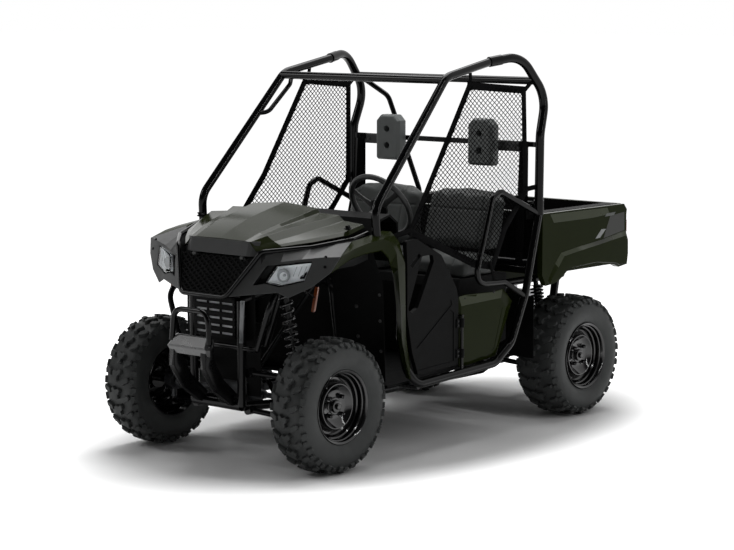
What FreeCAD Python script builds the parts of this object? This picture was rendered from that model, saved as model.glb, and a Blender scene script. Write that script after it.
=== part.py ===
import FreeCAD, Part
import math
import os

V = FreeCAD.Vector

# Side by side utility vehicle, in millimetres. The front faces -Y, the driver's side is +X and Z is up.
# Places are given as shares of three driving sizes: x of BODY_HALF, y of WHEELBASE and z of CAGE_TOP.

# Driving sizes of the vehicle
WHEELBASE = 1850.0
BODY_HALF = 600.0
CAGE_TOP = 1800.0
front_axle_share = -0.509
FRONT_AXLE_Y = WHEELBASE * front_axle_share
REAR_AXLE_Y = FRONT_AXLE_Y + WHEELBASE

# Wheels
TYRE_D = 610.0
TYRE_R = TYRE_D / 2
AXLE_Z = TYRE_R
FRONT_TYRE_W = 200.0
REAR_TYRE_W = 252.0
TRACK_HALF_OUT = 635.0
LUG_DEPTH = 19.0
LUG_SINK = 8.0
LUG_PITCHES = 18
CARCASS_SIDES = 36
BEAD_R = 158.0
RIM_LIP_R = 167.0
RIM_LIP_INSET = 13.0
RIM_WALL = 4.0
RIM_STEP = 20.0
BARREL_R = 146.0
DISC_R = 104.0
DISC_INSET = 45.0
DISC_DISH = 16.0
DISC_T = 6.0
HUB_R = 30.0
HUB_CAP_T = 14.0
NUT_CIRCLE_R = 55.0
NUT_R = 9.0
NUT_T = 12.0
NUTS = 4

# Axles, knuckles and steering
SEAT_GAP = 0.3
RUN_GAP = 0.05
PANEL_GAP = 6.0
STUB_R = 17.0
STUB_FLANGE_R = 48.0
STUB_FLANGE_T = 10.0
KINGPIN_X = 452.0
KNUCKLE_R = 42.0
KNUCKLE_T = 46.0
BALL_R = 18.0
BALL_RISE = 95.0
KNUCKLE_POST_T = 30.0
STEER_ARM = 85.0
STEER_ARM_RISE = 50.0
TIE_END_R = 16.0
TIE_END_T = 24.0
STEER_ARM_R = 10.0
TIE_ROD_R = 8.0
RACK_R = 15.0
RACK_HALF = 150.0
RACK_BODY_R = 24.0
RACK_BODY_HALF = 90.0

# Tubes
CAGE_TUBE_R = 20.0
HOOP_TUBE_R = 22.0
SLEEVE_R = 25.0
SLEEVE_L = 70.0
CROSS_TUBE_R = 19.0
RAIL_TUBE_R = 19.0
FRAME_TUBE_R = 21.0
BRACE_TUBE_R = 13.0
HIP_TUBE_R = 14.0
GRAB_TUBE_R = 11.0
GUARD_TUBE_R = 13.0
ARM_TUBE_R = 13.0
CAGE_BEND = 110.0
HOOP_BEND = 150.0
RAIL_BEND = 95.0
FRAME_BEND = 80.0
HIP_BEND = 45.0
GUARD_BEND = 45.0

# Panels
PANEL_T = 5.0
SHEET_T = 3.0
PLATE_T = 8.0
NET_T = 4.0
OVERRUN = 10.0
FLAT_LIMIT = 0.001
FULL_TURN = 360.0
BEND_ROOM = 2.05

# Steering wheel
WHEEL_X = 297.0
WHEEL_R = 178.0
WHEEL_GRIP_R = 14.0
WHEEL_HUB_R = 48.0
WHEEL_HUB_T = 50.0
WHEEL_SPOKE_R = 9.0
WHEEL_TILT = 31.0
wheel_share = (0.0, -0.168, 0.630)
spoke_degrees = (90, 210, 330)
COLUMN_R = 18.0
SHAFT_R = 11.0


def at(x_share, y_share, z_share):
    """A place on the vehicle from its shares of the driving sizes."""
    return V(BODY_HALF * x_share, WHEELBASE * y_share, CAGE_TOP * z_share)


def mirrored(shape):
    return shape.mirror(V(0, 0, 0), V(1, 0, 0))


def both(shape):
    """A shape and its mirror image on the other side of the vehicle."""
    return Part.makeCompound([shape, mirrored(shape)])


def joined(shapes):
    """One solid from shapes that meet."""
    first, rest = shapes[0], shapes[1:]
    return first.fuse(rest).removeSplitter() if rest else first


def bend_edges(points, bend, closed=False):
    """Edges through the points, with an arc of radius bend at each corner."""
    count = len(points)
    corners = range(count) if closed else range(1, count - 1)
    enters, leaves, edges = {}, {}, []
    for i in corners:
        before, here, after = points[i - 1], points[i], points[(i + 1) % count]
        a, b = (before - here), (after - here)
        half = a.getAngle(b) / 2
        short = min(a.Length, b.Length) / BEND_ROOM
        reach = min(bend / math.tan(half), short)
        a.normalize()
        b.normalize()
        enters[i], leaves[i] = here + a * reach, here + b * reach
        radius = reach * math.tan(half)
        middle = a + b
        middle.normalize()
        top = here + middle * (radius / math.sin(half) - radius)
        edges.append((i, Part.Arc(enters[i], top, leaves[i]).toShape()))
    arcs = dict(edges)
    steps = range(count) if closed else range(count - 1)
    path = []
    for i in steps:
        j = (i + 1) % count
        start, end = leaves.get(i, points[i]), enters.get(j, points[j])
        path.append(Part.makeLine(start, end))
        if j in arcs:
            path.append(arcs[j])
    return path


def tube(points, radius, bend):
    """A round tube along a path with bent corners."""
    wire = Part.Wire(bend_edges(points, bend))
    ring = Part.Wire(Part.makeCircle(radius, points[0], points[1] - points[0]))
    return wire.makePipeShell([ring], True, False)


def rod(start, end, radius):
    run = end - start
    return Part.makeCylinder(radius, run.Length, start, run)


def plate(points, bend, depth):
    """A flat plate: an outline with rounded corners, pushed along the vector depth."""
    wire = Part.Wire(bend_edges(points, bend, True))
    return Part.Face(wire).extrude(depth)


def sharp(points, depth):
    return Part.Face(Part.makePolygon(points + points[:1])).extrude(depth)


def slab(low, high):
    """A box between two opposite corners."""
    size = high - low
    return Part.makeBox(size.x, size.y, size.z, low)


def side_outline(shares, x):
    """Points in the plane x from pairs of shares of the wheelbase and the cage height."""
    return [V(x, WHEELBASE * y, CAGE_TOP * z) for y, z in shares]


def facets(a, b, c, d):
    """Flat faces between the edges ab and cd: one where the corners share a plane, else two."""
    normal = (b - a).cross(c - a)
    if abs(normal.dot(d - a)) < FLAT_LIMIT * normal.Length:
        return [Part.Face(Part.makePolygon([a, b, d, c, a]))]
    return [Part.Face(Part.makePolygon([a, b, c, a])), Part.Face(Part.makePolygon([b, d, c, b]))]


def skin(lines, walls):
    """A thin shell through a row of open lines, each line thickened by its own wall vector."""
    backs = [[p + wall for p in line] for line, wall in zip(lines, walls)]
    last = len(lines[0]) - 1
    faces = []
    for side in (lines, backs):
        for one, two in zip(side, side[1:]):
            for i in range(last):
                faces += facets(one[i], one[i + 1], two[i], two[i + 1])
    for rim, back in ((lines[0], backs[0]), (lines[-1], backs[-1])):
        for i in range(last):
            faces += facets(rim[i], rim[i + 1], back[i], back[i + 1])
    for i in (0, last):
        for row in range(len(lines) - 1):
            faces += facets(lines[row][i], lines[row + 1][i], backs[row][i], backs[row + 1][i])
    sheet = Part.makeCompound(faces)
    sheet.sewShape()
    solid = Part.Solid(Part.Shell(sheet.Faces))
    if solid.Volume < 0:
        solid.reverse()
    return solid


def turned(shape, axis, degrees, about=V(0, 0, 0)):
    copy = shape.copy()
    copy.rotate(about, axis, degrees)
    return copy


def moved(shape, offset):
    copy = shape.copy()
    copy.translate(offset)
    return copy


# Chassis frame: lower rails, front and rear subframes, cross members and the tow receiver
lower_rail_shares = [(0.25, -0.595, 0.152), (0.25, -0.43, 0.139), (0.45, -0.28, 0.139),
                     (0.45, 0.27, 0.139), (0.36, 0.40, 0.161), (0.36, 0.615, 0.167)]
front_post_shares = [(0.25, -0.595, 0.152), (0.25, -0.595, 0.419)]
upper_front_shares = [(0.25, -0.595, 0.419), (0.44, -0.52, 0.455), (0.44, -0.335, 0.455), (0.45, -0.29, 0.139)]
rear_post_shares = [(0.45, 0.262, 0.139), (0.45, 0.262, 0.372)]
upper_rear_shares = [(0.45, 0.225, 0.372), (0.45, 0.635, 0.372)]
rear_stay_shares = [(0.36, 0.61, 0.167), (0.45, 0.61, 0.372)]
shock_tower_shares = [(0.25, -0.509, 0.300), (0.44, -0.509, 0.455)]
front_strut_shares = [(0.41, -0.595, 0.300), (0.553, -0.590, 0.431), (0.44, -0.520, 0.455)]
hoop_stay_shares = [(0.45, 0.262, 0.36), (0.45, 0.262, 0.45)]
sill_post_shares = [[(0.45, -0.215, 0.139), (0.45, -0.215, 0.1783)], [(0.45, 0.08, 0.139), (0.45, 0.08, 0.198)]]
frame_bar_shares = [(0.45, -0.235, 0.139), (0.45, 0.097, 0.139), (0.45, 0.262, 0.139), (0.36, 0.61, 0.167),
                    (0.98, 0.262, 0.45), (0.25, -0.595, 0.152), (0.44, -0.509, 0.455)]
brace_bar_shares = [(1.0, -0.215, 0.1783), (1.0, 0.08, 0.198), (0.41, -0.595, 0.300), (0.25, -0.509, 0.300)]
receiver_share = (0.0, 0.690, 0.141)
rear_bar_share = (0.45, 0.61, 0.372)
RECEIVER_OUT = 31.8
RECEIVER_IN = 25.6
RECEIVER_L = 170.0
PIN_HOLE_R = 8.0
PIN_SETBACK = 40.0


def frame_tube(shares, radius=FRAME_TUBE_R):
    return tube([at(*p) for p in shares], radius, FRAME_BEND)


def cross_bar(x_share, y_share, z_share, radius):
    return rod(at(-x_share, y_share, z_share), at(x_share, y_share, z_share), radius)


def receiver():
    """The square tow tube below the bed's tail, with a hitch pin hole across it."""
    rear = at(*receiver_share)
    box = slab(rear - V(RECEIVER_OUT, RECEIVER_L, RECEIVER_OUT), rear + V(RECEIVER_OUT, 0, RECEIVER_OUT))
    bore = slab(rear - V(RECEIVER_IN, RECEIVER_L - PLATE_T, RECEIVER_IN), rear + V(RECEIVER_IN, OVERRUN, RECEIVER_IN))
    pin = rear - V(0, PIN_SETBACK, 0)
    across = V(RECEIVER_OUT + OVERRUN, 0, 0)
    return box.cut([bore, rod(pin - across, pin + across, PIN_HOLE_R)])


def bed_pivot():
    """The bed's hinge pin between two ears on the upper rail."""
    centre = at(*bed_hinge_share)
    near, far = BED_LUG_T / 2 + SEAT_GAP, BED_LUG_T / 2 + SEAT_GAP + BED_EAR_T
    rail_z = CAGE_TOP * upper_rear_shares[0][2]
    parts = [rod(centre - V(far, 0, 0), centre + V(far, 0, 0), BED_PIN_R)]
    for low_x, high_x in ((near, far), (-far, -near)):
        parts.append(slab(V(centre.x + low_x, centre.y - BED_LUG_R, rail_z),
                          V(centre.x + high_x, centre.y + BED_LUG_R, centre.z + BED_PIN_R)))
    return joined(parts)


def make_chassis_frame(rails):
    side = [lower_rail_shares, front_post_shares, upper_front_shares, rear_post_shares,
            upper_rear_shares, rear_stay_shares, shock_tower_shares, hoop_stay_shares]
    parts = []
    for shares in side:
        bar = frame_tube(shares)
        parts += [bar, mirrored(bar)]
    for shares in [front_strut_shares] + sill_post_shares:
        brace = frame_tube(shares, BRACE_TUBE_R)
        parts += [brace, mirrored(brace)]
    parts += [cross_bar(*share, FRAME_TUBE_R) for share in frame_bar_shares + [rear_bar_share]]
    parts += [cross_bar(*share, BRACE_TUBE_R) for share in brace_bar_shares]
    pivot = bed_pivot()
    frame = joined(parts + [receiver(), pivot, mirrored(pivot)])
    return frame.cut(rails)


# Side rails: sill tubes that rise to the rear posts and to the front pillars
side_rail_shares = [(0.917, -0.344, 0.567), (0.912, -0.278, 0.505), (0.905, -0.250, 0.430), (0.905, -0.250, 0.300),
                    (0.955, -0.245, 0.225), (1.0, -0.222, 0.184), (1.0, 0.097, 0.199), (1.0, 0.165, 0.245),
                    (1.0, 0.225, 0.37), (1.0, 0.281, 0.583)]

SILL_POINT = 6
HINGE_PIN_R = 7.0
HINGE_X = 597.0
hinge_y_share = -0.040
hinge_top_share = 0.345


def hinge_place(z_share):
    return V(HINGE_X, WHEELBASE * hinge_y_share, CAGE_TOP * z_share)


def make_side_rail(grow=0):
    """The bent sill tube, with the door's hinge pin and the stay at the pin's top."""
    bar = tube([at(*p) for p in side_rail_shares], RAIL_TUBE_R + grow, RAIL_BEND)
    foot, top = hinge_place(side_rail_shares[SILL_POINT][2]), hinge_place(hinge_top_share)
    reach = HINGE_X - SIDE_PANEL_X - PANEL_T - SEAT_GAP
    stay = slab(top - V(reach, HINGE_PIN_R, HINGE_PIN_R), top + V(HINGE_PIN_R, HINGE_PIN_R, 0))
    return joined([bar, rod(foot, top, HINGE_PIN_R), stay])


# Front of the cage: pillars, roof rails, cross tube, grab tube and corner gussets
pillar_shares = [(0.917, -0.344, 0.567), (0.912, -0.349, 0.642), (0.857, -0.053, 0.962), (0.847, 0.128, 0.997)]
front_cross_share = (0.855, -0.062, 0.955)
grab_shares = [(-0.875, -0.155, 0.853), (-0.80, -0.135, 0.857), (-0.80, -0.05, 0.93), (-0.853, -0.022, 0.965)]
gusset_shares = [(0.86, -0.085, 0.925), (0.857, -0.053, 0.962), (0.852, 0.0, 0.975)]


def make_cage_front():
    bar = tube([at(*p) for p in pillar_shares], CAGE_TUBE_R, CAGE_BEND)
    gusset = sharp([at(*p) - V(PANEL_T / 2, 0, 0) for p in gusset_shares], V(PANEL_T, 0, 0))
    cross = cross_bar(*front_cross_share, CROSS_TUBE_R)
    grab = tube([at(*p) for p in grab_shares], GRAB_TUBE_R, GUARD_BEND)
    return joined([bar, mirrored(bar), cross, gusset, mirrored(gusset), grab])


# Rear hoop: posts, rear cross tube, diagonal, headrest bar and sleeves
hoop_shares = [(0.847, 0.128, 0.997), (0.935, 0.225, 1.012), (0.975, 0.318, 0.90), (1.0, 0.284, 0.80),
               (1.0, 0.281, 0.583)]
rear_cross_share = (0.955, 0.272, 0.944)
headrest_bar_share = (0.985, 0.284, 0.772)
diagonal_shares = [(-0.90, 0.274, 0.942), (-0.61, 0.284, 0.888), (-0.553, 0.284, 0.846), (-0.44, 0.284, 0.762),
                   (-0.24, 0.275, 0.628), (-0.20, 0.262, 0.46)]
BAR_HALF = 12.5


def make_rear_hoop(neighbours):
    bar = tube([at(*p) for p in hoop_shares], HOOP_TUBE_R, HOOP_BEND)
    start, nxt = at(*hoop_shares[0]), at(*hoop_shares[1])
    lead = (nxt - start).normalize()
    front_sleeve = rod(start, start + lead * SLEEVE_L, SLEEVE_R)
    foot, above = at(*hoop_shares[-1]), at(*hoop_shares[-2])
    rise = (above - foot).normalize()
    foot_sleeve = rod(foot, foot + rise * SLEEVE_L, SLEEVE_R)
    side = joined([bar, front_sleeve, foot_sleeve])
    cross = cross_bar(*rear_cross_share, CROSS_TUBE_R)
    x, y, z = at(*headrest_bar_share)
    square = slab(V(-x, y - BAR_HALF, z - BAR_HALF), V(x, y + BAR_HALF, z + BAR_HALF))
    diagonal = tube([at(*p) for p in diagonal_shares], BRACE_TUBE_R, FRAME_BEND)
    return joined([side, mirrored(side), cross, square, diagonal]).cut(neighbours)


# Hip and shoulder loops beside the seats
hip_shares = [(1.0, 0.273, 0.589), (0.98, 0.124, 0.656), (0.98, 0.090, 0.641), (0.985, 0.025, 0.455),
              (0.985, 0.031, 0.425), (0.985, 0.057, 0.416), (0.985, 0.142, 0.412), (1.0, 0.224, 0.365)]


def make_hip_bars(neighbours):
    bar = tube([at(*p) for p in hip_shares], HIP_TUBE_R, HIP_BEND)
    return both(bar).cut(neighbours)


# Headrests on the square bar
HEADREST_X = 297.0
HEADREST_W = 150.0
HEADREST_D = 75.0
HEADREST_H = 232.0
HEADREST_RISE = 4.0
HEADREST_CHAMFER = 32.0
HEADREST_HOLE_R = 17.0
HEADREST_HOLE_STEP = 84.0
HEADREST_TUBE_R = 9.0


def make_headrest():
    bar_y, bar_z = WHEELBASE * headrest_bar_share[1], CAGE_TOP * headrest_bar_share[2]
    front = bar_y - BAR_HALF - PLATE_T - HEADREST_D
    w, h, c = HEADREST_W / 2, HEADREST_H / 2, HEADREST_CHAMFER
    ring = [(-w, -h), (w, -h), (w, h - c), (w - c, h), (c - w, h), (-w, h - c)]
    centre = V(HEADREST_X, front, bar_z + HEADREST_RISE)
    pad = plate([centre + V(x, 0, z) for x, z in ring], HEADREST_TUBE_R, V(0, HEADREST_D, 0))
    for side in (-1, 1):
        start = centre + V(0, -OVERRUN, side * HEADREST_HOLE_STEP / 2)
        pad = pad.cut(rod(start, start + V(0, HEADREST_D + OVERRUN + OVERRUN, 0), HEADREST_HOLE_R))
    bracket = slab(V(HEADREST_X - w / 2, front + HEADREST_D, bar_z - BAR_HALF),
                   V(HEADREST_X + w / 2, bar_y - BAR_HALF, bar_z + BAR_HALF))
    return joined([pad, bracket])


# Seats: base housing, cushions and leaning backs
SEAT_HALF_GAP = 22.0
SEAT_OUT_X = 490.0
CUSHION_CORNER = 28.0
cushion_shares = [(0.045, 0.4252), (0.038, 0.462), (0.055, 0.477), (0.19, 0.478), (0.21, 0.4252)]
back_shares = [(0.150, 0.4782), (0.196, 0.650), (0.212, 0.664), (0.240, 0.662), (0.246, 0.640), (0.213, 0.4782)]
BACK_TOP_CUT = 90.0
base_shares = [(0.045, 0.207), (0.030, 0.400), (0.038, 0.425), (0.235, 0.425), (0.235, 0.24), (0.10, 0.207)]
BASE_HALF = 470.0


def make_cushion():
    outline = side_outline(cushion_shares, SEAT_HALF_GAP)
    return plate(outline, CUSHION_CORNER, V(SEAT_OUT_X - SEAT_HALF_GAP, 0, 0))


def make_back():
    """A seat back, its top corners cut at a slope."""
    outline = side_outline(back_shares, SEAT_HALF_GAP)
    block = plate(outline, CUSHION_CORNER, V(SEAT_OUT_X - SEAT_HALF_GAP, 0, 0))
    top = max(p.z for p in outline)
    low = min(p.y for p in outline) - OVERRUN
    deep = V(0, max(p.y for p in outline) - low + OVERRUN, 0)
    for x, way in ((SEAT_OUT_X, 1), (SEAT_HALF_GAP, -1)):
        reach = BACK_TOP_CUT if way > 0 else BACK_TOP_CUT / 2
        corner = [V(x + way * OVERRUN, low, top + OVERRUN), V(x - way * reach, low, top + OVERRUN),
                  V(x + way * OVERRUN, low, top - reach)]
        block = block.cut(sharp(corner, deep))
    return block


def make_seat_base():
    outline = side_outline(base_shares, -BASE_HALF)
    return plate(outline, PLATE_T, V(BASE_HALF + BASE_HALF, 0, 0))


# Seat belts: at each post a reel, a strap up to the guide on the square bar, and a strap down to the frame
BELT_X = 500.0
BELT_W = 46.0
BELT_T = 3.0
GUIDE_D = 34.0
GUIDE_H = 30.0
GUIDE_OVER = 7.0
REEL_D = 56.0
REEL_H = 88.0
REEL_W = 58.0
REEL_STAY = 26.0
guide_y_share = 0.268
reel_z_share = 0.568
belt_foot_share = (0.251, 0.452)


def belt_strap(y, low_y, low, high):
    """A flat strap in front of a post, from the height low up to the height high."""
    ring = [V(BELT_X, low_y, low), V(BELT_X, low_y + BELT_T, low), V(BELT_X, y + BELT_T, high), V(BELT_X, y, high)]
    return sharp(ring, V(BELT_W, 0, 0))


def make_seat_belt(neighbours):
    bar = at(*headrest_bar_share)
    front, low = WHEELBASE * guide_y_share, bar.z - GUIDE_H / 2
    guide = slab(V(BELT_X - GUIDE_OVER, front - GUIDE_OVER, low),
                 V(BELT_X + BELT_W + GUIDE_OVER, front + GUIDE_D, low + GUIDE_H))
    reel_top = CAGE_TOP * reel_z_share + REEL_H
    reel = slab(V(BELT_X - GUIDE_OVER, front, reel_top - REEL_H),
                V(BELT_X - GUIDE_OVER + REEL_W, front + REEL_D, reel_top))
    stay = slab(V(BELT_X, bar.y - BAR_HALF, reel_top - REEL_H / 2),
                V(BELT_X + REEL_W + REEL_STAY, bar.y + BAR_HALF, reel_top - GUIDE_OVER))
    foot_y, foot_z = WHEELBASE * belt_foot_share[0], CAGE_TOP * belt_foot_share[1]
    riser = belt_strap(front + BELT_T + BELT_T, front + BELT_T + BELT_T, reel_top - OVERRUN, low + OVERRUN)
    lap = belt_strap(front - BELT_T, foot_y, foot_z, low + OVERRUN)
    return joined([guide, reel, stay, riser, lap]).cut(neighbours)


# Side nets: a bordered web in a plane beside each seat
net_shares = [[(0.872, 0.041, 0.927), (0.938, 0.228, 0.911)], [(0.875, -0.120, 0.677), (0.953, 0.232, 0.650)],
              [(0.905, -0.194, 0.578), (0.945, 0.150, 0.560)], [(0.920, 0.040, 0.480), (0.925, 0.110, 0.467)]]


net_strap_shares = [[(0.872, 0.043, 0.925), (0.850, 0.047, 0.978)], [(0.938, 0.227, 0.909), (0.945, 0.272, 0.944)],
                    [(0.950, 0.231, 0.652), (1.000, 0.281, 0.660)], [(0.924, 0.105, 0.470), (0.985, 0.100, 0.414)],
                    [(0.903, -0.190, 0.580), (0.912, -0.285, 0.568)]]
NET_STRAP_W = 26.0


def strip(start, end, width, thickness):
    """A flat strap between two places, thin along X."""
    across = (end - start).cross(V(1, 0, 0)).normalize() * (width / 2)
    ring = [start - across, end - across, end + across, start + across]
    slant = V(end.x - start.x, 0, 0)
    flat = [V(start.x, p.y, p.z) for p in ring]
    lean = [flat[0], flat[1] + slant, flat[2] + slant, flat[3]]
    return skin([[lean[0], lean[3]], [lean[1], lean[2]]], [V(-thickness, 0, 0)] * 2)


def make_side_net(neighbours):
    """The web and its corner straps, which end on the cage, the hip bar and the fender."""
    lines = [[at(*p) for p in line] for line in net_shares]
    parts = [skin(lines, [V(-NET_T, 0, 0)] * len(lines))]
    parts += [strip(at(*a), at(*b), NET_STRAP_W, NET_T) for a, b in net_strap_shares]
    return joined(parts).cut(neighbours)


# Dash and steering column
dash_shares = [(-0.318, 0.565), (-0.300, 0.612), (-0.262, 0.622), (-0.232, 0.60), (-0.228, 0.535), (-0.245, 0.50),
               (-0.250, 0.50), (-0.235, 0.535), (-0.238, 0.597), (-0.264, 0.616), (-0.297, 0.606), (-0.314, 0.560)]
DASH_HALF = 500.0
COLUMN_L = 330.0


def column_direction():
    angle = math.radians(WHEEL_TILT)
    return V(0, -math.cos(angle), -math.sin(angle))


def wheel_centre():
    return V(WHEEL_X, 0, 0) + at(*wheel_share)


def make_dash():
    return sharp(side_outline(dash_shares, -DASH_HALF), V(DASH_HALF + DASH_HALF, 0, 0))


def make_steering_column(neighbours):
    """Column tube, the jointed shaft that leads down, and the rack housing on its two brackets."""
    way = column_direction()
    top = wheel_centre() + way * (WHEEL_HUB_T + SEAT_GAP)
    low = top + way * COLUMN_L
    rack = rack_centre()
    half = V(RACK_BODY_HALF, 0, 0)
    housing = rod(rack - half, rack + half, RACK_BODY_R)
    parts = [rod(top, low, COLUMN_R), rod(low, rack, SHAFT_R), housing]
    rail_x, rail_z = BODY_HALF * lower_rail_shares[1][0], CAGE_TOP * lower_rail_shares[1][2]
    foot = V(rail_x, rack.y, rail_z)
    inner = rack + V(RACK_BODY_HALF - RACK_BODY_R, 0, 0)
    stay = rod(foot, inner, SHAFT_R)
    parts += [stay, mirrored(stay)]
    bore = rod(rack - half - half, rack + half + half, RACK_R + RUN_GAP)
    return joined(parts).cut([bore] + neighbours)


def make_steering_wheel():
    way = column_direction()
    centre = wheel_centre()
    rim = Part.makeTorus(WHEEL_R - WHEEL_GRIP_R, WHEEL_GRIP_R, centre, way)
    hub = rod(centre, centre + way * WHEEL_HUB_T, WHEEL_HUB_R)
    parts = [rim, hub]
    across = V(1, 0, 0)
    down = across.cross(way)
    for degrees in spoke_degrees:
        angle = math.radians(degrees)
        out = across * math.cos(angle) + down * math.sin(angle)
        start = centre + way * (WHEEL_HUB_T / 2)
        end = centre + out * (WHEEL_R - WHEEL_GRIP_R)
        parts.append(rod(start, end, WHEEL_SPOKE_R))
    return joined(parts)


# Floor, firewall and underside tray
floor_shares = [(0.055, 0.205), (-0.25, 0.190), (-0.30, 0.190), (-0.30, 0.184), (-0.252, 0.184), (0.055, 0.199)]
toe_shares = [(-0.27, 0.190), (-0.305, 0.235), (-0.318, 0.53), (-0.322, 0.53), (-0.309, 0.231), (-0.276, 0.187)]
FLOOR_HALF = 545.0
TOE_HALF = 275.0


def make_floor_pan(neighbours):
    """The flat floor across the cab and the toe board between the wheel arches."""
    floor = sharp(side_outline(floor_shares, -FLOOR_HALF), V(FLOOR_HALF + FLOOR_HALF, 0, 0))
    toe = sharp(side_outline(toe_shares, -TOE_HALF), V(TOE_HALF + TOE_HALF, 0, 0))
    return joined([floor, toe]).cut(neighbours)


# Fender liners: the dark inner walls of the front wheel arches
liner_shares = [(0.90, -0.305, 0.20), (0.90, -0.315, 0.45), (0.86, -0.345, 0.55), (0.50, -0.40, 0.55),
                (0.47, -0.345, 0.45), (0.47, -0.318, 0.20)]


def make_fender_liner():
    ring = [at(*p) for p in liner_shares]
    outer, inner = ring[:3], list(reversed(ring[3:]))
    lines = [[a, b] for a, b in zip(outer, inner)]
    wall = V(0, SHEET_T, 0)
    return skin(lines, [wall] * len(lines))


# Green panels below the seats
side_panel_shares = [(-0.042, 0.386), (-0.013, 0.394), (0.110, 0.389), (0.147, 0.393), (0.186, 0.356),
                     (0.118, 0.215), (-0.005, 0.205), (-0.036, 0.205)]
side_panel_face_shares = [(-0.030, 0.368), (0.118, 0.372), (0.154, 0.343), (0.121, 0.228), (0.106, 0.213),
                          (-0.030, 0.209)]
foot_pocket_shares = [(0.028, 0.2215), (0.095, 0.2245), (0.114, 0.213), (0.100, 0.2135), (0.090, 0.2185)]
FOOT_POCKET_DEPTH = 6.0
SIDE_PANEL_X = 570.0
SIDE_PANEL_RISE = 9.0


def make_side_panel(neighbours):
    back = sharp(side_outline(side_panel_shares, SIDE_PANEL_X), V(PANEL_T, 0, 0))
    face = sharp(side_outline(side_panel_face_shares, SIDE_PANEL_X), V(PANEL_T + SIDE_PANEL_RISE, 0, 0))
    pocket_x = SIDE_PANEL_X + PANEL_T + SIDE_PANEL_RISE - FOOT_POCKET_DEPTH
    pocket = sharp(side_outline(foot_pocket_shares, pocket_x), V(FOOT_POCKET_DEPTH + OVERRUN, 0, 0))
    return joined([back, face]).cut(neighbours + [pocket])


# Front fenders: a top and a side face over the wheel that turn down into a leg behind it
fender_shares = [
    [(0.885, -0.400, 0.571), (1.0, -0.455, 0.556), (0.985, -0.464, 0.531)],
    [(0.885, -0.356, 0.577), (1.0, -0.405, 0.565), (0.990, -0.415, 0.540)],
    [(0.885, -0.312, 0.585), (1.0, -0.350, 0.571), (0.990, -0.352, 0.543)],
    [(0.905, -0.286, 0.582), (1.0, -0.318, 0.558), (0.985, -0.326, 0.523)],
    [(0.950, -0.272, 0.556), (1.005, -0.303, 0.532), (0.960, -0.308, 0.498)],
    [(0.983, -0.262, 0.500), (1.010, -0.299, 0.490), (0.935, -0.289, 0.476)],
    [(0.983, -0.260, 0.393), (1.010, -0.289, 0.393), (0.933, -0.277, 0.392)],
    [(0.983, -0.258, 0.310), (1.010, -0.284, 0.310), (0.933, -0.271, 0.309)],
    [(0.985, -0.248, 0.253), (1.010, -0.269, 0.253), (0.940, -0.259, 0.253)],
    [(0.987, -0.236, 0.204), (1.010, -0.252, 0.204), (0.950, -0.245, 0.204)],
]
fender_wall_shares = [(-1.0, 0.0, -1.0)] * 4 + [(-1.0, 0.5, -1.0), (-1.0, 1.0, -0.6)] + [(-1.0, 1.6, 0.0)] * 5


def make_front_fender(neighbours):
    """The fender, whose front edge follows the nose's edge with a seam."""
    seam = V(0, PANEL_T + SEAT_GAP, 0)
    front = [at(*p) + seam for p in reversed(wing_shares[-1])]
    lines = [front] + [[at(*p) for p in line] for line in fender_shares]
    walls = [V(*share) * PANEL_T for share in fender_wall_shares]
    return skin(lines, walls).cut(neighbours)


# Hood: a creased shell with a centre plateau, ridges and side drops
hood_shares = [
    (-0.592, [(0.0, 0.531), (0.24, 0.531), (0.29, 0.531), (0.315, 0.531), (0.325, 0.531), (0.335, 0.531)]),
    (-0.584, [(0.0, 0.569), (0.26, 0.568), (0.31, 0.566), (0.340, 0.555), (0.360, 0.549), (0.374, 0.545)]),
    (-0.540, [(0.0, 0.590), (0.28, 0.584), (0.36, 0.580), (0.43, 0.567), (0.480, 0.561), (0.508, 0.556)]),
    (-0.480, [(0.0, 0.612), (0.31, 0.601), (0.42, 0.595), (0.50, 0.580), (0.61, 0.572), (0.665, 0.566)]),
    (-0.400, [(0.0, 0.632), (0.33, 0.620), (0.50, 0.610), (0.56, 0.596), (0.76, 0.588), (0.795, 0.580)]),
    (-0.350, [(0.0, 0.643), (0.34, 0.634), (0.56, 0.622), (0.61, 0.612), (0.80, 0.606), (0.815, 0.596)]),
]
HOOD_WALL = 5.0
HOOD_PIN_R = 4.0
HOOD_LUG_R = 9.0
HOOD_LUG_T = 20.0
HOOD_LUG_X = 150.0
HOOD_STAY_T = 6.0
HOOD_LUG_GAP = 2.0
hood_pivot_share = (0.0, -0.5895, 0.5255)


def hood_lug():
    """The eye under the hood's front band that turns on the nose's pin."""
    centre = at(*hood_pivot_share) + V(HOOD_LUG_X, 0, 0)
    band = at(0, hood_shares[0][0], hood_shares[0][1][0][1])
    half = V(HOOD_LUG_T / 2, 0, 0)
    arm = slab(V(centre.x - half.x, band.y, centre.z), V(centre.x + half.x, band.y + HOOD_WALL, band.z + HOOD_WALL))
    return joined([rod(centre - half, centre + half, HOOD_LUG_R), arm])


def hood_pocket():
    """Room in the mesh for the lug to turn in."""
    centre = at(*hood_pivot_share) + V(HOOD_LUG_X, 0, 0)
    half = V(HOOD_LUG_T / 2 + SEAT_GAP, 0, 0)
    return rod(centre - half, centre + half, HOOD_LUG_R + HOOD_LUG_GAP)


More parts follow.
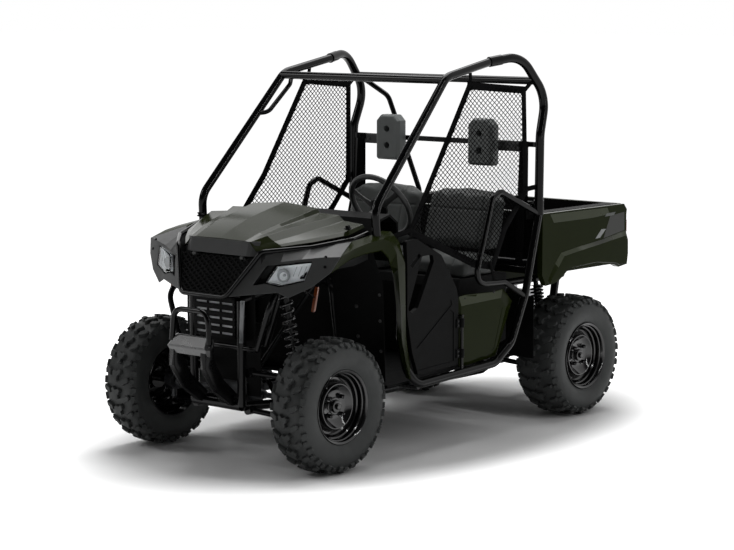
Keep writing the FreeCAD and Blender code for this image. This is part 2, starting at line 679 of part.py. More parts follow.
def hood_pin():
    """The pin on the nose, between two stays that rise from the grille."""
    centre = at(*hood_pivot_share) + V(HOOD_LUG_X, 0, 0)
    near = HOOD_LUG_T / 2 + SEAT_GAP
    far = near + HOOD_STAY_T
    parts = [rod(centre - V(far, 0, 0), centre + V(far, 0, 0), HOOD_PIN_R)]
    low = CAGE_TOP * grille_shares[0][2] - HOOD_LUG_R
    for low_x, high_x in ((near, far), (-far, -near)):
        parts.append(slab(V(centre.x + low_x, centre.y - HOOD_PIN_R, low),
                          V(centre.x + high_x, centre.y + HOOD_PIN_R, centre.z + HOOD_PIN_R)))
    return joined(parts)


def make_hood():
    lines = []
    for y_share, profile in hood_shares:
        right = [at(-x, y_share, z) for x, z in reversed(profile[1:])]
        left = [at(x, y_share, z) for x, z in profile]
        lines.append(right + left)
    walls = [V(0, HOOD_WALL, 0)] + [V(0, 0, -HOOD_WALL)] * (len(lines) - 1)
    lug = hood_lug()
    reach = V(BODY_HALF, 0, 0)
    bore = rod(at(*hood_pivot_share) - reach, at(*hood_pivot_share) + reach, HOOD_PIN_R + RUN_GAP)
    return joined([skin(lines, walls), lug, mirrored(lug)]).cut(bore)


# Nose: grille frame with its mesh, and the dark fascia wings with lamp openings
grille_shares = [(-0.36, -0.588, 0.525), (0.36, -0.588, 0.525), (0.235, -0.645, 0.432), (-0.235, -0.645, 0.432)]
bead_shares = [(0.855, -0.352, 0.582), (0.833, -0.397, 0.570), (0.695, -0.500, 0.555), (0.437, -0.588, 0.545),
               (0.235, -0.645, 0.432)]
GRILLE_BEAD_R = 11.0
GRILLE_BEND = 40.0
GRILLE_MESH_T = 5.0
MESH_COLUMNS = 9
MESH_ROWS = 5
MESH_LEAD = 0.25
MESH_HOLE_W = 26.0
MESH_HOLE_H = 11.0
wing_shares = [
    [(0.25, -0.640, 0.434), (0.355, -0.607, 0.492), (0.445, -0.585, 0.540)],
    [(0.60, -0.589, 0.449), (0.58, -0.570, 0.522), (0.56, -0.548, 0.548)],
    [(0.68, -0.580, 0.437), (0.72, -0.545, 0.530), (0.70, -0.505, 0.553)],
    [(0.833, -0.553, 0.464), (0.87, -0.527, 0.537), (0.78, -0.450, 0.560)],
    [(0.953, -0.525, 0.502), (1.0, -0.508, 0.540), (0.87, -0.420, 0.567)],
]
lamp_shares = [(0.50, 0.472), (0.605, 0.465), (0.768, 0.480), (0.797, 0.524), (0.555, 0.512)]
LAMP_FRONT_SHARE = -0.66
LAMP_BACK_SHARE = -0.49
LAMP_DEPTH = 60.0


def grille_mesh():
    """The sloping mesh plate between the beads, with rows of shifted slots."""
    ring = [at(*p) for p in grille_shares]
    face = Part.Face(Part.makePolygon(ring + ring[:1]))
    across = V(1, 0, 0)
    up = ((ring[0] + ring[1]) - (ring[2] + ring[3])).normalize()
    out = across.cross(up)
    panel = face.extrude(out * -GRILLE_MESH_T)
    low = (ring[2] + ring[3]) / 2
    height = ((ring[0] + ring[1]) / 2 - low).Length
    cuts = []
    for row in range(MESH_ROWS):
        share = (row + 1) / (MESH_ROWS + 1)
        wide = ring[2].x + (ring[1].x - ring[2].x) * share - GRILLE_BEAD_R - MESH_HOLE_W / 2
        shift = (row % 2) / 2
        step = wide * 2 / MESH_COLUMNS
        for column in range(MESH_COLUMNS):
            x = -wide + step * (column + MESH_LEAD + shift)
            centre = low + up * (height * share) + across * x
            hole = [centre - across * (MESH_HOLE_W / 2), centre - up * (MESH_HOLE_H / 2),
                    centre + across * (MESH_HOLE_W / 2), centre + up * (MESH_HOLE_H / 2)]
            cuts.append(sharp([p + out * OVERRUN for p in hole], out * -(OVERRUN * 3)))
    return panel.cut(cuts)


def make_grille():
    """The bead that frames the grille and runs on beside the hood, with the mesh inside it."""
    left = [at(*p) for p in bead_shares]
    right = [V(-p.x, p.y, p.z) for p in reversed(left)]
    return joined([tube(left + right, GRILLE_BEAD_R, GRILLE_BEND), grille_mesh()])


def lamp_prism(grow, front_share, back_share):
    front, back = WHEELBASE * front_share, WHEELBASE * back_share
    middle_x = sum(x for x, _ in lamp_shares) / len(lamp_shares) * BODY_HALF
    middle_z = sum(z for _, z in lamp_shares) / len(lamp_shares) * CAGE_TOP
    ring = []
    for x, z in lamp_shares:
        away = V(x * BODY_HALF - middle_x, 0, z * CAGE_TOP - middle_z)
        away.normalize()
        ring.append(V(x * BODY_HALF, front, z * CAGE_TOP) + away * grow)
    return sharp(ring, V(0, back - front, 0))


def wing_shell(depth, inset=0.0):
    lines = [[at(*p) + V(0, inset, 0) for p in line] for line in wing_shares]
    return skin(lines, [V(0, depth, 0)] * len(lines))


def make_wing():
    return wing_shell(PANEL_T).cut(lamp_prism(0, LAMP_FRONT_SHARE, LAMP_BACK_SHARE))


def make_nose(neighbours):
    """Grille, bead and both wings as one moulding."""
    wing, pin, pocket = make_wing(), hood_pin(), hood_pocket()
    grille = make_grille().cut([pocket, mirrored(pocket)])
    return joined([grille, wing, mirrored(wing), pin, mirrored(pin)]).cut(neighbours)


def make_headlamp():
    """A clear lamp body that fills the wing's opening and reaches back from it."""
    body = lamp_prism(-SEAT_GAP, LAMP_FRONT_SHARE, LAMP_BACK_SHARE)
    return body.common(wing_shell(LAMP_DEPTH))


# Radiator: slotted guard in front of the core
RADIATOR_HALF = 128.7
radiator_front_share = -0.606
RADIATOR_GUARD_T = 4.0
RADIATOR_CORE_T = 40.0
radiator_low_share = 0.322
radiator_top_share = 0.425
SLOT_COLUMNS = 3
SLOT_ROWS = 5
SLOT_H = 9.0
SLOT_RIB = 16.0


def make_radiator():
    front = WHEELBASE * radiator_front_share
    low, top = CAGE_TOP * radiator_low_share, CAGE_TOP * radiator_top_share
    guard = slab(V(-RADIATOR_HALF, front, low), V(RADIATOR_HALF, front + RADIATOR_GUARD_T, top))
    pitch_x = (RADIATOR_HALF + RADIATOR_HALF - SLOT_RIB) / SLOT_COLUMNS
    pitch_z = (top - low - SLOT_RIB) / SLOT_ROWS
    slots = []
    for column in range(SLOT_COLUMNS):
        x = -RADIATOR_HALF + SLOT_RIB + pitch_x * column
        for row in range(SLOT_ROWS):
            z = low + SLOT_RIB + pitch_z * row
            slots.append(slab(V(x, front - OVERRUN, z), V(x + pitch_x - SLOT_RIB, front + OVERRUN, z + SLOT_H)))
    core = slab(V(-RADIATOR_HALF, front + RADIATOR_GUARD_T, low),
                V(RADIATOR_HALF, front + RADIATOR_GUARD_T + RADIATOR_CORE_T, top))
    return joined([guard.cut(slots), core])


# Front guard: bumper plate, tube loop above it and two curved arms below
guard_loop_shares = [(-0.158, -0.688, 0.318), (-0.165, -0.686, 0.398), (0.165, -0.686, 0.398), (0.158, -0.688, 0.318)]
guard_plate_shares = [(-0.235, 0.298), (-0.185, 0.334), (0.185, 0.334), (0.235, 0.298), (0.205, 0.286), (-0.205, 0.286)]
guard_front_share = -0.703
GUARD_PLATE_T = 14.0
guard_arm_shares = [(-0.701, 0.330), (-0.701, 0.256), (-0.665, 0.195), (-0.602, 0.150), (-0.585, 0.150),
                    (-0.585, 0.175), (-0.640, 0.225), (-0.670, 0.275), (-0.675, 0.330)]
GUARD_ARM_X = 82.0
GUARD_ARM_T = 34.0


def make_front_guard(neighbours):
    loop = tube([at(*p) for p in guard_loop_shares], GUARD_TUBE_R, GUARD_BEND)
    y = WHEELBASE * guard_front_share
    ring = [V(BODY_HALF * x, y, CAGE_TOP * z) for x, z in guard_plate_shares]
    bumper = sharp(ring, V(0, GUARD_PLATE_T, 0))
    arm = sharp(side_outline(guard_arm_shares, GUARD_ARM_X), V(GUARD_ARM_T, 0, 0))
    return joined([loop, bumper, arm, mirrored(arm)]).cut(neighbours)


# Suspension arms: double wishbones at each corner and the rear hub carriers
ARM_PIVOT_X = 165.0
ARM_PIVOT_SPAN = 120.0
LOWER_PIVOT_Z = AXLE_Z - 50.0
UPPER_PIVOT_Z = AXLE_Z + 120.0
ARM_TIE_R = 10.0
arm_tie_share = 0.62
ARM_BUSH_R = 20.0
ARM_BUSH_L = 44.0
REAR_CARRIER_X = 440.0
REAR_BORE_L = 60.0


def wishbone(axle_y, pivot_z, outer, outer_r):
    """Two tubes from bushes on the frame to one joint at the hub."""
    parts = [rod(outer - V(0, 0, outer_r), outer + V(0, 0, outer_r), outer_r)]
    for side in (-1, 1):
        pivot = V(ARM_PIVOT_X, axle_y + side * ARM_PIVOT_SPAN, pivot_z)
        half = V(0, ARM_BUSH_L / 2, 0)
        parts += [rod(pivot - half, pivot + half, ARM_BUSH_R), rod(pivot, outer, ARM_TUBE_R)]
    inner, spread = V(ARM_PIVOT_X, axle_y, pivot_z), V(0, ARM_PIVOT_SPAN * (1 - arm_tie_share), 0)
    tie = inner + (outer - inner) * arm_tie_share
    parts.append(rod(tie - spread, tie + spread, ARM_TIE_R))
    return joined(parts)


def front_ball(side):
    return V(KINGPIN_X, FRONT_AXLE_Y, AXLE_Z + side * BALL_RISE)


def rear_ball(side):
    return V(REAR_CARRIER_X, REAR_AXLE_Y, AXLE_Z + side * BALL_RISE)


def make_rear_carrier():
    centre = V(REAR_CARRIER_X, REAR_AXLE_Y, AXLE_Z)
    post = slab(centre - V(KNUCKLE_POST_T / 2, KNUCKLE_POST_T / 2, BALL_RISE - BALL_R),
                centre + V(KNUCKLE_POST_T / 2, KNUCKLE_POST_T / 2, BALL_RISE - BALL_R))
    half = V(REAR_BORE_L / 2, 0, 0)
    return joined([post, rod(centre - half, centre + half, KNUCKLE_R)]).cut(
        rod(centre - half - half, centre + half + half, STUB_R + RUN_GAP))


def make_suspension_arms(neighbours):
    arms = []
    for side, pivot_z in ((-1, LOWER_PIVOT_Z), (1, UPPER_PIVOT_Z)):
        arms.append(wishbone(FRONT_AXLE_Y, pivot_z, front_ball(side), BALL_R))
    rear = [wishbone(REAR_AXLE_Y, pivot_z, rear_ball(side), BALL_R)
            for side, pivot_z in ((-1, LOWER_PIVOT_Z), (1, UPPER_PIVOT_Z))]
    carrier = make_rear_carrier()
    arms.append(joined(rear + [carrier]))
    return Part.makeCompound([both(arm) for arm in arms]).cut(neighbours)


# Shocks: damper, coil with its turns, and an eye at each end
SHOCK_EYE_R = 15.0
SHOCK_EYE_L = 30.0
SHOCK_ROD_R = 8.0
SHOCK_BODY_R = 22.0
COIL_R = 37.0
COIL_ROOT_R = 30.0
COIL_TURNS = 8
COIL_TOP = 33.0
COIL_FOOT = 45.0
front_shock_top_share = (0.44, -0.509, 0.455)
rear_shock_top_share = (0.50, 0.490, 0.372)


def shock(top, foot):
    """A coil over damper between two eyes, its coil drawn as turned rings."""
    run = foot - top
    length = run.Length
    start, end = COIL_TOP, length - COIL_FOOT
    pitch = (end - start) / COIL_TURNS
    points = [V(0, 0, SHOCK_EYE_R / 2), V(SHOCK_ROD_R, 0, SHOCK_EYE_R / 2), V(SHOCK_ROD_R, 0, start),
              V(COIL_ROOT_R, 0, start)]
    for turn in range(COIL_TURNS):
        crest = start + pitch * turn + pitch / 2
        points += [V(COIL_R, 0, crest), V(COIL_ROOT_R, 0, crest + pitch / 2)]
    points += [V(SHOCK_BODY_R, 0, end), V(SHOCK_BODY_R, 0, length - SHOCK_EYE_R / 2),
               V(0, 0, length - SHOCK_EYE_R / 2)]
    face = Part.Face(Part.makePolygon(points + points[:1]))
    body = face.revolve(V(0, 0, 0), V(0, 0, 1), FULL_TURN)
    body.Placement = FreeCAD.Placement(top, FreeCAD.Rotation(V(0, 0, 1), run))
    half = V(0, SHOCK_EYE_L / 2, 0)
    return joined([body, rod(top - half, top + half, SHOCK_EYE_R), rod(foot - half, foot + half, SHOCK_EYE_R)])


def make_shocks(neighbours):
    shocks = []
    for axle_y, outer, top in ((FRONT_AXLE_Y, front_ball(1), front_shock_top_share),
                               (REAR_AXLE_Y, rear_ball(1), rear_shock_top_share)):
        inner = V(ARM_PIVOT_X, axle_y, UPPER_PIVOT_Z)
        foot = inner + (outer - inner) * arm_tie_share + V(0, 0, SHOCK_EYE_R + ARM_TIE_R)
        shocks.append(both(shock(at(*top), foot)))
    return Part.makeCompound(shocks).cut(neighbours)


# Knuckles: the steered uprights between the ball joints, with a bore for the stub axle
def make_knuckle():
    centre = V(KINGPIN_X, FRONT_AXLE_Y, AXLE_Z)
    rise = BALL_RISE - BALL_R - SEAT_GAP
    post = rod(centre - V(0, 0, rise), centre + V(0, 0, rise), KNUCKLE_POST_T / 2)
    half = V(KNUCKLE_T / 2, 0, 0)
    housing = rod(centre - half, centre + half, KNUCKLE_R)
    arm_end = V(KINGPIN_X, FRONT_AXLE_Y + STEER_ARM, AXLE_Z + STEER_ARM_RISE)
    arm = rod(centre + V(0, 0, STEER_ARM_RISE), arm_end, STEER_ARM_R)
    eye = rod(arm_end - V(0, 0, TIE_END_T / 2), arm_end + V(0, 0, TIE_END_T / 2), TIE_END_R)
    bore = rod(centre - half - half, centre + half + half, STUB_R + RUN_GAP)
    return joined([post, housing, arm, eye]).cut(bore)


def rack_centre():
    """The middle of the rack bar, level with the eyes on top of the steering arms."""
    return V(0, FRONT_AXLE_Y + STEER_ARM, AXLE_Z + STEER_ARM_RISE + TIE_END_T + SEAT_GAP)


def make_steering_rack():
    """The sliding rack bar and its two tie rods, with eyes on top of the steering arms."""
    middle = rack_centre()
    half = V(RACK_HALF, 0, 0)
    parts = [rod(middle - half, middle + half, RACK_R)]
    for side in (-1, 1):
        eye = middle + V(side * KINGPIN_X, 0, 0)
        parts += [rod(middle + half * side, eye, TIE_ROD_R),
                  rod(eye - V(0, 0, TIE_END_T / 2), eye + V(0, 0, TIE_END_T / 2), TIE_END_R)]
    return joined(parts)


# Drive: engine block, gear cases, drive shaft and half shafts
engine_low_share = (-0.35, 0.27, 0.16)
engine_top_share = (0.35, 0.0, 0.35)
ENGINE_BACK = 148.0
FRONT_CASE_R = 70.0
FRONT_CASE_HALF = 75.0
REAR_CASE_R = 95.0
REAR_CASE_HALF = 90.0
HALF_SHAFT_R = 13.0
BOOT_NECK_R = 18.2
BOOT_R = 36.0
BOOT_L = 80.0
PROP_R = 18.0


def half_shaft(case_x, end_x, y):
    start, end = V(case_x, y, AXLE_Z), V(end_x, y, AXLE_Z)
    parts = [rod(start, end, HALF_SHAFT_R)]
    for base, way in ((start, 1), (end, -1)):
        parts.append(Part.makeCone(BOOT_R, BOOT_NECK_R, BOOT_L, base, V(way, 0, 0)))
    return joined(parts)


def make_drivetrain(neighbours):
    engine = slab(at(*engine_low_share), at(*engine_top_share) + V(0, REAR_AXLE_Y - ENGINE_BACK, 0))
    front = rod(V(-FRONT_CASE_HALF, FRONT_AXLE_Y, AXLE_Z), V(FRONT_CASE_HALF, FRONT_AXLE_Y, AXLE_Z), FRONT_CASE_R)
    rear = rod(V(-REAR_CASE_HALF, REAR_AXLE_Y, AXLE_Z), V(REAR_CASE_HALF, REAR_AXLE_Y, AXLE_Z), REAR_CASE_R)
    prop = rod(V(0, FRONT_AXLE_Y, AXLE_Z), V(0, REAR_AXLE_Y, AXLE_Z), PROP_R)
    parts = [engine, front, rear, prop]
    front_end = KINGPIN_X - KNUCKLE_R - PANEL_GAP
    rear_end = REAR_CARRIER_X - REAR_BORE_L / 2 - SEAT_GAP
    for case_x, end_x, y in ((FRONT_CASE_HALF, front_end, FRONT_AXLE_Y), (REAR_CASE_HALF, rear_end, REAR_AXLE_Y)):
        shaft = half_shaft(case_x - OVERRUN, end_x, y)
        parts += [shaft, mirrored(shaft)]
    return joined(parts).cut(neighbours)


# Muffler across the rear of the frame
MUFFLER_R = 62.0
MUFFLER_HALF = 150.0
MUFFLER_TAIL_R = 20.0
MUFFLER_TAIL_L = 105.0
muffler_share = (0.0, 0.585, 0.29)


def make_muffler(neighbours):
    centre = at(*muffler_share)
    half = V(MUFFLER_HALF, 0, 0)
    can = rod(centre - half, centre + half, MUFFLER_R)
    tail = rod(centre + V(MUFFLER_HALF / 2, 0, 0), centre + V(MUFFLER_HALF / 2, MUFFLER_TAIL_L, 0), MUFFLER_TAIL_R)
    bar = at(*rear_bar_share)
    lug = slab(centre - V(MUFFLER_TAIL_R, 0, 0), V(MUFFLER_TAIL_R, bar.y, bar.z))
    return joined([can, tail, lug]).cut(neighbours)


# Doors: rear hinged half doors with a long see through slot
door_shares = [(-0.210, 0.207), (-0.050, 0.214), (-0.050, 0.386), (-0.0573, 0.416), (-0.1195, 0.509),
               (-0.217, 0.559), (-0.257, 0.556), (-0.253, 0.488), (-0.253, 0.364), (-0.234, 0.270)]
door_slot_shares = [(-0.196, 0.513), (-0.154, 0.513), (-0.150, 0.495), (-0.212, 0.381), (-0.234, 0.371),
                    (-0.250, 0.380)]
vent_shares = [(-0.242, 0.495), (-0.208, 0.521), (-0.200, 0.514), (-0.234, 0.486)]
door_groove_shares = [(-0.080, 0.389), (-0.220, 0.290), (-0.216, 0.276), (-0.076, 0.375)]
door_panel_shares = [(-0.211, 0.219), (-0.068, 0.225), (-0.069, 0.354), (-0.082, 0.363), (-0.213, 0.267)]
DOOR_RELIEF = 3.0
DOOR_X = 568.0
DOOR_T = 22.0
DOOR_CORNER = 14.0
BARREL_WALL = 5.0
BARREL_L = 42.0
STRAP_L = 36.0
STRAP_T = 5.0
barrel_low_share = 0.232
barrel_top_share = 0.312


def door_hinge(z_share):
    """A barrel around the hinge pin and its strap on the door's face."""
    low = hinge_place(z_share)
    rise = V(0, 0, BARREL_L)
    outer = HINGE_PIN_R + BARREL_WALL
    strap = slab(V(DOOR_X + DOOR_T, low.y - STRAP_L, low.z), V(DOOR_X + DOOR_T + STRAP_T, low.y, low.z + BARREL_L))
    bore = rod(low - rise, low + rise + rise, HINGE_PIN_R + RUN_GAP)
    return joined([rod(low, low + rise, outer), strap]).cut(bore)


def make_door():
    """A door plate with two openings, a groove and a sunk lower panel."""
    door = plate(side_outline(door_shares, DOOR_X), DOOR_CORNER, V(DOOR_T, 0, 0))
    through = V(DOOR_T + OVERRUN + OVERRUN, 0, 0)
    cuts = [plate(side_outline(door_slot_shares, DOOR_X - OVERRUN), DOOR_CORNER, through)]
    cuts.append(sharp(side_outline(vent_shares, DOOR_X - OVERRUN), through))
    for shares in (door_groove_shares, door_panel_shares):
        cuts.append(sharp(side_outline(shares, DOOR_X + DOOR_T - DOOR_RELIEF), V(OVERRUN, 0, 0)))
    return joined([door.cut(cuts), door_hinge(barrel_low_share), door_hinge(barrel_top_share)])


# Cargo bed: floor, front wall, sides with wheel arches, and the tailgate
bed_side_shares = [(0.300, 0.583), (0.680, 0.583), (0.694, 0.567), (0.692, 0.551), (0.692, 0.500), (0.702, 0.478),
                   (0.703, 0.440), (0.698, 0.409), (0.657, 0.404), (0.636, 0.413), (0.545, 0.423), (0.417, 0.418),
                   (0.378, 0.394), (0.354, 0.387), (0.317, 0.384), (0.300, 0.414)]
flare_base_shares = [(0.324, 0.388), (0.332, 0.408), (0.357, 0.442), (0.384, 0.469), (0.448, 0.477),
                     (0.572, 0.489), (0.688, 0.506), (0.698, 0.478), (0.699, 0.440), (0.694, 0.413),
                     (0.657, 0.408), (0.636, 0.416), (0.545, 0.426), (0.417, 0.421), (0.378, 0.397), (0.354, 0.390)]
flare_crest_shares = [(0.330, 0.388), (0.340, 0.403), (0.368, 0.430), (0.394, 0.459), (0.459, 0.467),
                      (0.573, 0.479), (0.686, 0.492), (0.695, 0.476), (0.696, 0.441), (0.691, 0.415),
                      (0.657, 0.411), (0.636, 0.419), (0.545, 0.429), (0.417, 0.424), (0.378, 0.400), (0.354, 0.393)]
strip_edge_shares = [(0.332, 0.580), (0.349, 0.553), (0.525, 0.553), (0.612, 0.558), (0.600, 0.579)]
strip_floor_shares = [(0.345, 0.577), (0.360, 0.562), (0.524, 0.564), (0.606, 0.567), (0.600, 0.576)]
FLARE_RISE = 7.0
STRIP_DEPTH = 5.0
BED_OUT_X = 600.0
BED_WALL_T = 30.0
BED_INNER_X = 500.0
BED_FLOOR_T = 30.0
bed_front_share = 0.318
bed_rear_share = 0.672
bed_floor_share = 0.412
GATE_T = 30.0
GATE_GAP = 6.0
GATE_PIN_R = 8.0
GATE_PIN_L = 26.0
bed_hinge_share = (0.45, 0.612, 0.398)
BED_PIN_R = 10.0
BED_LUG_R = 19.0
BED_LUG_T = 24.0
BED_EAR_T = 8.0
BED_SILL_W = 40.0
bed_sill_shares = (0.325, 0.590)


def bed_lug():
    """The lug below the bed's floor that turns on the frame's pin, and the sill that rests on the rail."""
    centre = at(*bed_hinge_share)
    half = V(BED_LUG_T / 2, 0, 0)
    floor_z = CAGE_TOP * bed_floor_share
    ring = rod(centre - half, centre + half, BED_LUG_R)
    neck = slab(centre - V(BED_LUG_T / 2, BED_LUG_R, 0), V(centre.x + BED_LUG_T / 2, centre.y + BED_LUG_R, floor_z))
    bore = rod(centre - half - half, centre + half + half, BED_PIN_R + RUN_GAP)
    front, rear = bed_sill_shares
    rail_top = CAGE_TOP * upper_rear_shares[0][2] + FRAME_TUBE_R + SEAT_GAP
    sill = slab(V(centre.x - BED_SILL_W / 2, WHEELBASE * front, rail_top),
                V(centre.x + BED_SILL_W / 2, WHEELBASE * rear, floor_z))
    return joined([joined([ring, neck]).cut(bore), sill])


def gate_pivot():
    """The tailgate's hinge line, above its lower edge."""
    rear = WHEELBASE * bed_rear_share + GATE_GAP + GATE_T / 2
    return V(0, rear, CAGE_TOP * bed_floor_share + GATE_T / 2)


def relief(shares, x, crest_shares, crest_x):
    """A solid between two side outlines of as many points, whose walls slope from one to the other."""
    rings = [side_outline(shares, x), side_outline(crest_shares, crest_x)]
    wires = [Part.makePolygon(ring + ring[:1]) for ring in rings]
    return Part.makeLoft(wires, True, True)


def bed_side():
    """An outer side with the flare over the wheel and a sunk strip along its top."""
    sheet = sharp(side_outline(bed_side_shares, BED_OUT_X - BED_WALL_T), V(BED_WALL_T, 0, 0))
    flare = relief(flare_base_shares, BED_OUT_X, flare_crest_shares, BED_OUT_X + FLARE_RISE)
    strip = relief(strip_floor_shares, BED_OUT_X - STRIP_DEPTH, strip_edge_shares, BED_OUT_X)
    return joined([sheet, flare]).cut(strip)


def make_bed():
    """Floor, front wall and double side walls, the skirts cut to clear the wheels."""
    side = bed_side()
    front, rear = WHEELBASE * bed_front_share, WHEELBASE * bed_rear_share
    floor_z = CAGE_TOP * bed_floor_share
    top = CAGE_TOP * bed_side_shares[0][1]
    skin_x = BED_OUT_X - BED_WALL_T
    inner = slab(V(BED_INNER_X, front, floor_z), V(skin_x, rear, top))
    deck = slab(V(-skin_x, front, floor_z), V(skin_x, rear, floor_z + BED_FLOOR_T))
    wall = slab(V(-skin_x, front, floor_z), V(skin_x, front + BED_WALL_T, top))
    lug = bed_lug()
    bed = joined([deck, wall, side, mirrored(side), inner, mirrored(inner), lug, mirrored(lug)])
    reach = V(BED_OUT_X, 0, 0)
    return bed.cut(rod(gate_pivot() - reach, gate_pivot() + reach, GATE_PIN_R + RUN_GAP))


def make_tailgate():
    """A flat gate with a pin at each lower corner, its lower edge rounded to clear the floor."""
    pivot = gate_pivot()
    half_t = GATE_T / 2
    top = CAGE_TOP * bed_side_shares[0][1]
    half = BED_OUT_X - BED_WALL_T - PANEL_GAP
    ends = V(half, 0, 0)
    panel = slab(V(-half, pivot.y - half_t, pivot.z), V(half, pivot.y + half_t, top))
    pins = rod(pivot - ends - V(GATE_PIN_L, 0, 0), pivot + ends + V(GATE_PIN_L, 0, 0), GATE_PIN_R)
    return joined([panel, rod(pivot - ends, pivot + ends, half_t), pins])


# Tail lamps on the bed's rear corners
LAMP_W = 26.0
LAMP_H = 62.0
LAMP_T = 10.0
tail_lamp_share = 0.692
tail_lamp_low_share = 0.502


def make_tail_lamp():
    low = V(BED_OUT_X - BED_WALL_T, WHEELBASE * tail_lamp_share + SEAT_GAP, CAGE_TOP * tail_lamp_low_share)
    return slab(low, low + V(LAMP_W, LAMP_T, LAMP_H))


# Tyres and rims, turned about the X axis at the origin with the outer face to +X
carcass_shares = [(-0.36, 0.535), (-0.47, 0.62), (-0.50, 0.74), (-0.47, 0.86), (-0.37, 0.935), (0.37, 0.935),
                  (0.47, 0.86), (0.50, 0.74), (0.47, 0.62), (0.36, 0.535)]
centre_lug_shares = [(0.02, -0.24), (0.24, -0.10), (0.24, 0.20), (0.06, 0.06)]
shoulder_shares = [(0.27, 1.0), (0.455, 1.0), (0.495, 0.86), (0.46, 0.80), (0.27, 0.90)]
LUG_LENGTH = 48.0
SHOULDER_LUG_HALF = 20.0


def polygon_ring(x, radius, sides):
    """A regular ring of flats around the X axis, whose flats lie at the radius."""
    corner = radius / math.cos(math.pi / sides)
    step = 2 * math.pi / sides
    angles = [step * i + step / 2 for i in range(sides)]
    ring = [V(x, corner * math.cos(angle), corner * math.sin(angle)) for angle in angles]
    return Part.makePolygon(ring + ring[:1])


def tread_block(points, width):
    """One lug on the lowest flat, from shares of the tyre's width and of the lug's length."""
    ring = [V(width * x, LUG_LENGTH * y, -TYRE_R) for x, y in points]
    return sharp(ring, V(0, 0, LUG_DEPTH + LUG_SINK))


def shoulder_block(side, width):
    """A lug over the tyre's shoulder, tapered down its side."""
    face = [V(width * x * side, -SHOULDER_LUG_HALF, -TYRE_R * r) for x, r in shoulder_shares]
    return sharp(face, V(0, SHOULDER_LUG_HALF + SHOULDER_LUG_HALF, 0))


def make_tyre(width):
    radius = TYRE_R
    rings = [polygon_ring(width * x, radius * r, CARCASS_SIDES) for x, r in carcass_shares]
    shell = Part.makeLoft(rings, True, True)
    core = Part.makeCylinder(BEAD_R, width + width, V(-width, 0, 0), V(1, 0, 0))
    lugs = []
    pitch = FULL_TURN / LUG_PITCHES
    axis = V(1, 0, 0)
    centre = tread_block(centre_lug_shares, width)
    outer = [shoulder_block(1, width), centre]
    inner = [shoulder_block(-1, width), turned(centre, V(0, 0, 1), FULL_TURN / 2)]
    for i in range(LUG_PITCHES):
        lugs += [turned(lug, axis, pitch * i) for lug in outer]
        lugs += [turned(lug, axis, pitch * i + pitch / 2) for lug in inner]
    return shell.fuse(lugs).cut(core)


def make_rim(width):
    """Rim barrel with its lips, dished disc, hub cap, lug nuts and the stub axle inboard."""
    half = width / 2
    lip = half - RIM_LIP_INSET
    w = RIM_WALL
    profile = [(lip, RIM_LIP_R), (lip, RIM_LIP_R - w), (lip - RIM_STEP, BARREL_R - w),
               (half - DISC_INSET, BARREL_R - RIM_STEP), (half - DISC_INSET, DISC_R),
               (half - DISC_INSET - DISC_DISH, HUB_R),
               (half - DISC_INSET - DISC_DISH, 0), (half - DISC_INSET - DISC_DISH - DISC_T, 0),
               (half - DISC_INSET - DISC_DISH - DISC_T, HUB_R), (half - DISC_INSET - DISC_T, DISC_R),
               (half - DISC_INSET - DISC_T, BARREL_R - w), (-lip, BARREL_R - w), (-lip, RIM_LIP_R),
               (RIM_STEP - lip, BEAD_R - SEAT_GAP), (lip - RIM_STEP, BEAD_R - SEAT_GAP)]
    points = [V(x, 0, r) for x, r in profile]
    face = Part.Face(Part.makePolygon(points + points[:1]))
    rim = face.revolve(V(0, 0, 0), V(1, 0, 0), FULL_TURN)
    base = half - DISC_INSET - DISC_DISH
    parts = [rim, Part.makeCylinder(HUB_R, HUB_CAP_T, V(base, 0, 0), V(1, 0, 0))]
    for i in range(NUTS):
        angle = 2 * math.pi * i / NUTS + math.pi / NUTS
        place = V(base, NUT_CIRCLE_R * math.cos(angle), NUT_CIRCLE_R * math.sin(angle))
        parts.append(Part.makeCylinder(NUT_R, NUT_T + DISC_DISH, place, V(1, 0, 0)))
    return joined(parts)


def stub_axle(width, inner_x, centre_x):
    """The turning stub axle and its flange, from the wheel's disc to the hub bore."""
    start = width / 2 - DISC_INSET - DISC_DISH - DISC_T
    flange = Part.makeCylinder(STUB_FLANGE_R, STUB_FLANGE_T, V(start, 0, 0), V(-1, 0, 0))
    shaft = Part.makeCylinder(STUB_R, start - (inner_x - centre_x), V(start, 0, 0), V(-1, 0, 0))
    return joined([flange, shaft])


def export(name, shape):
    shape.exportStep("parts/" + name + ".step")


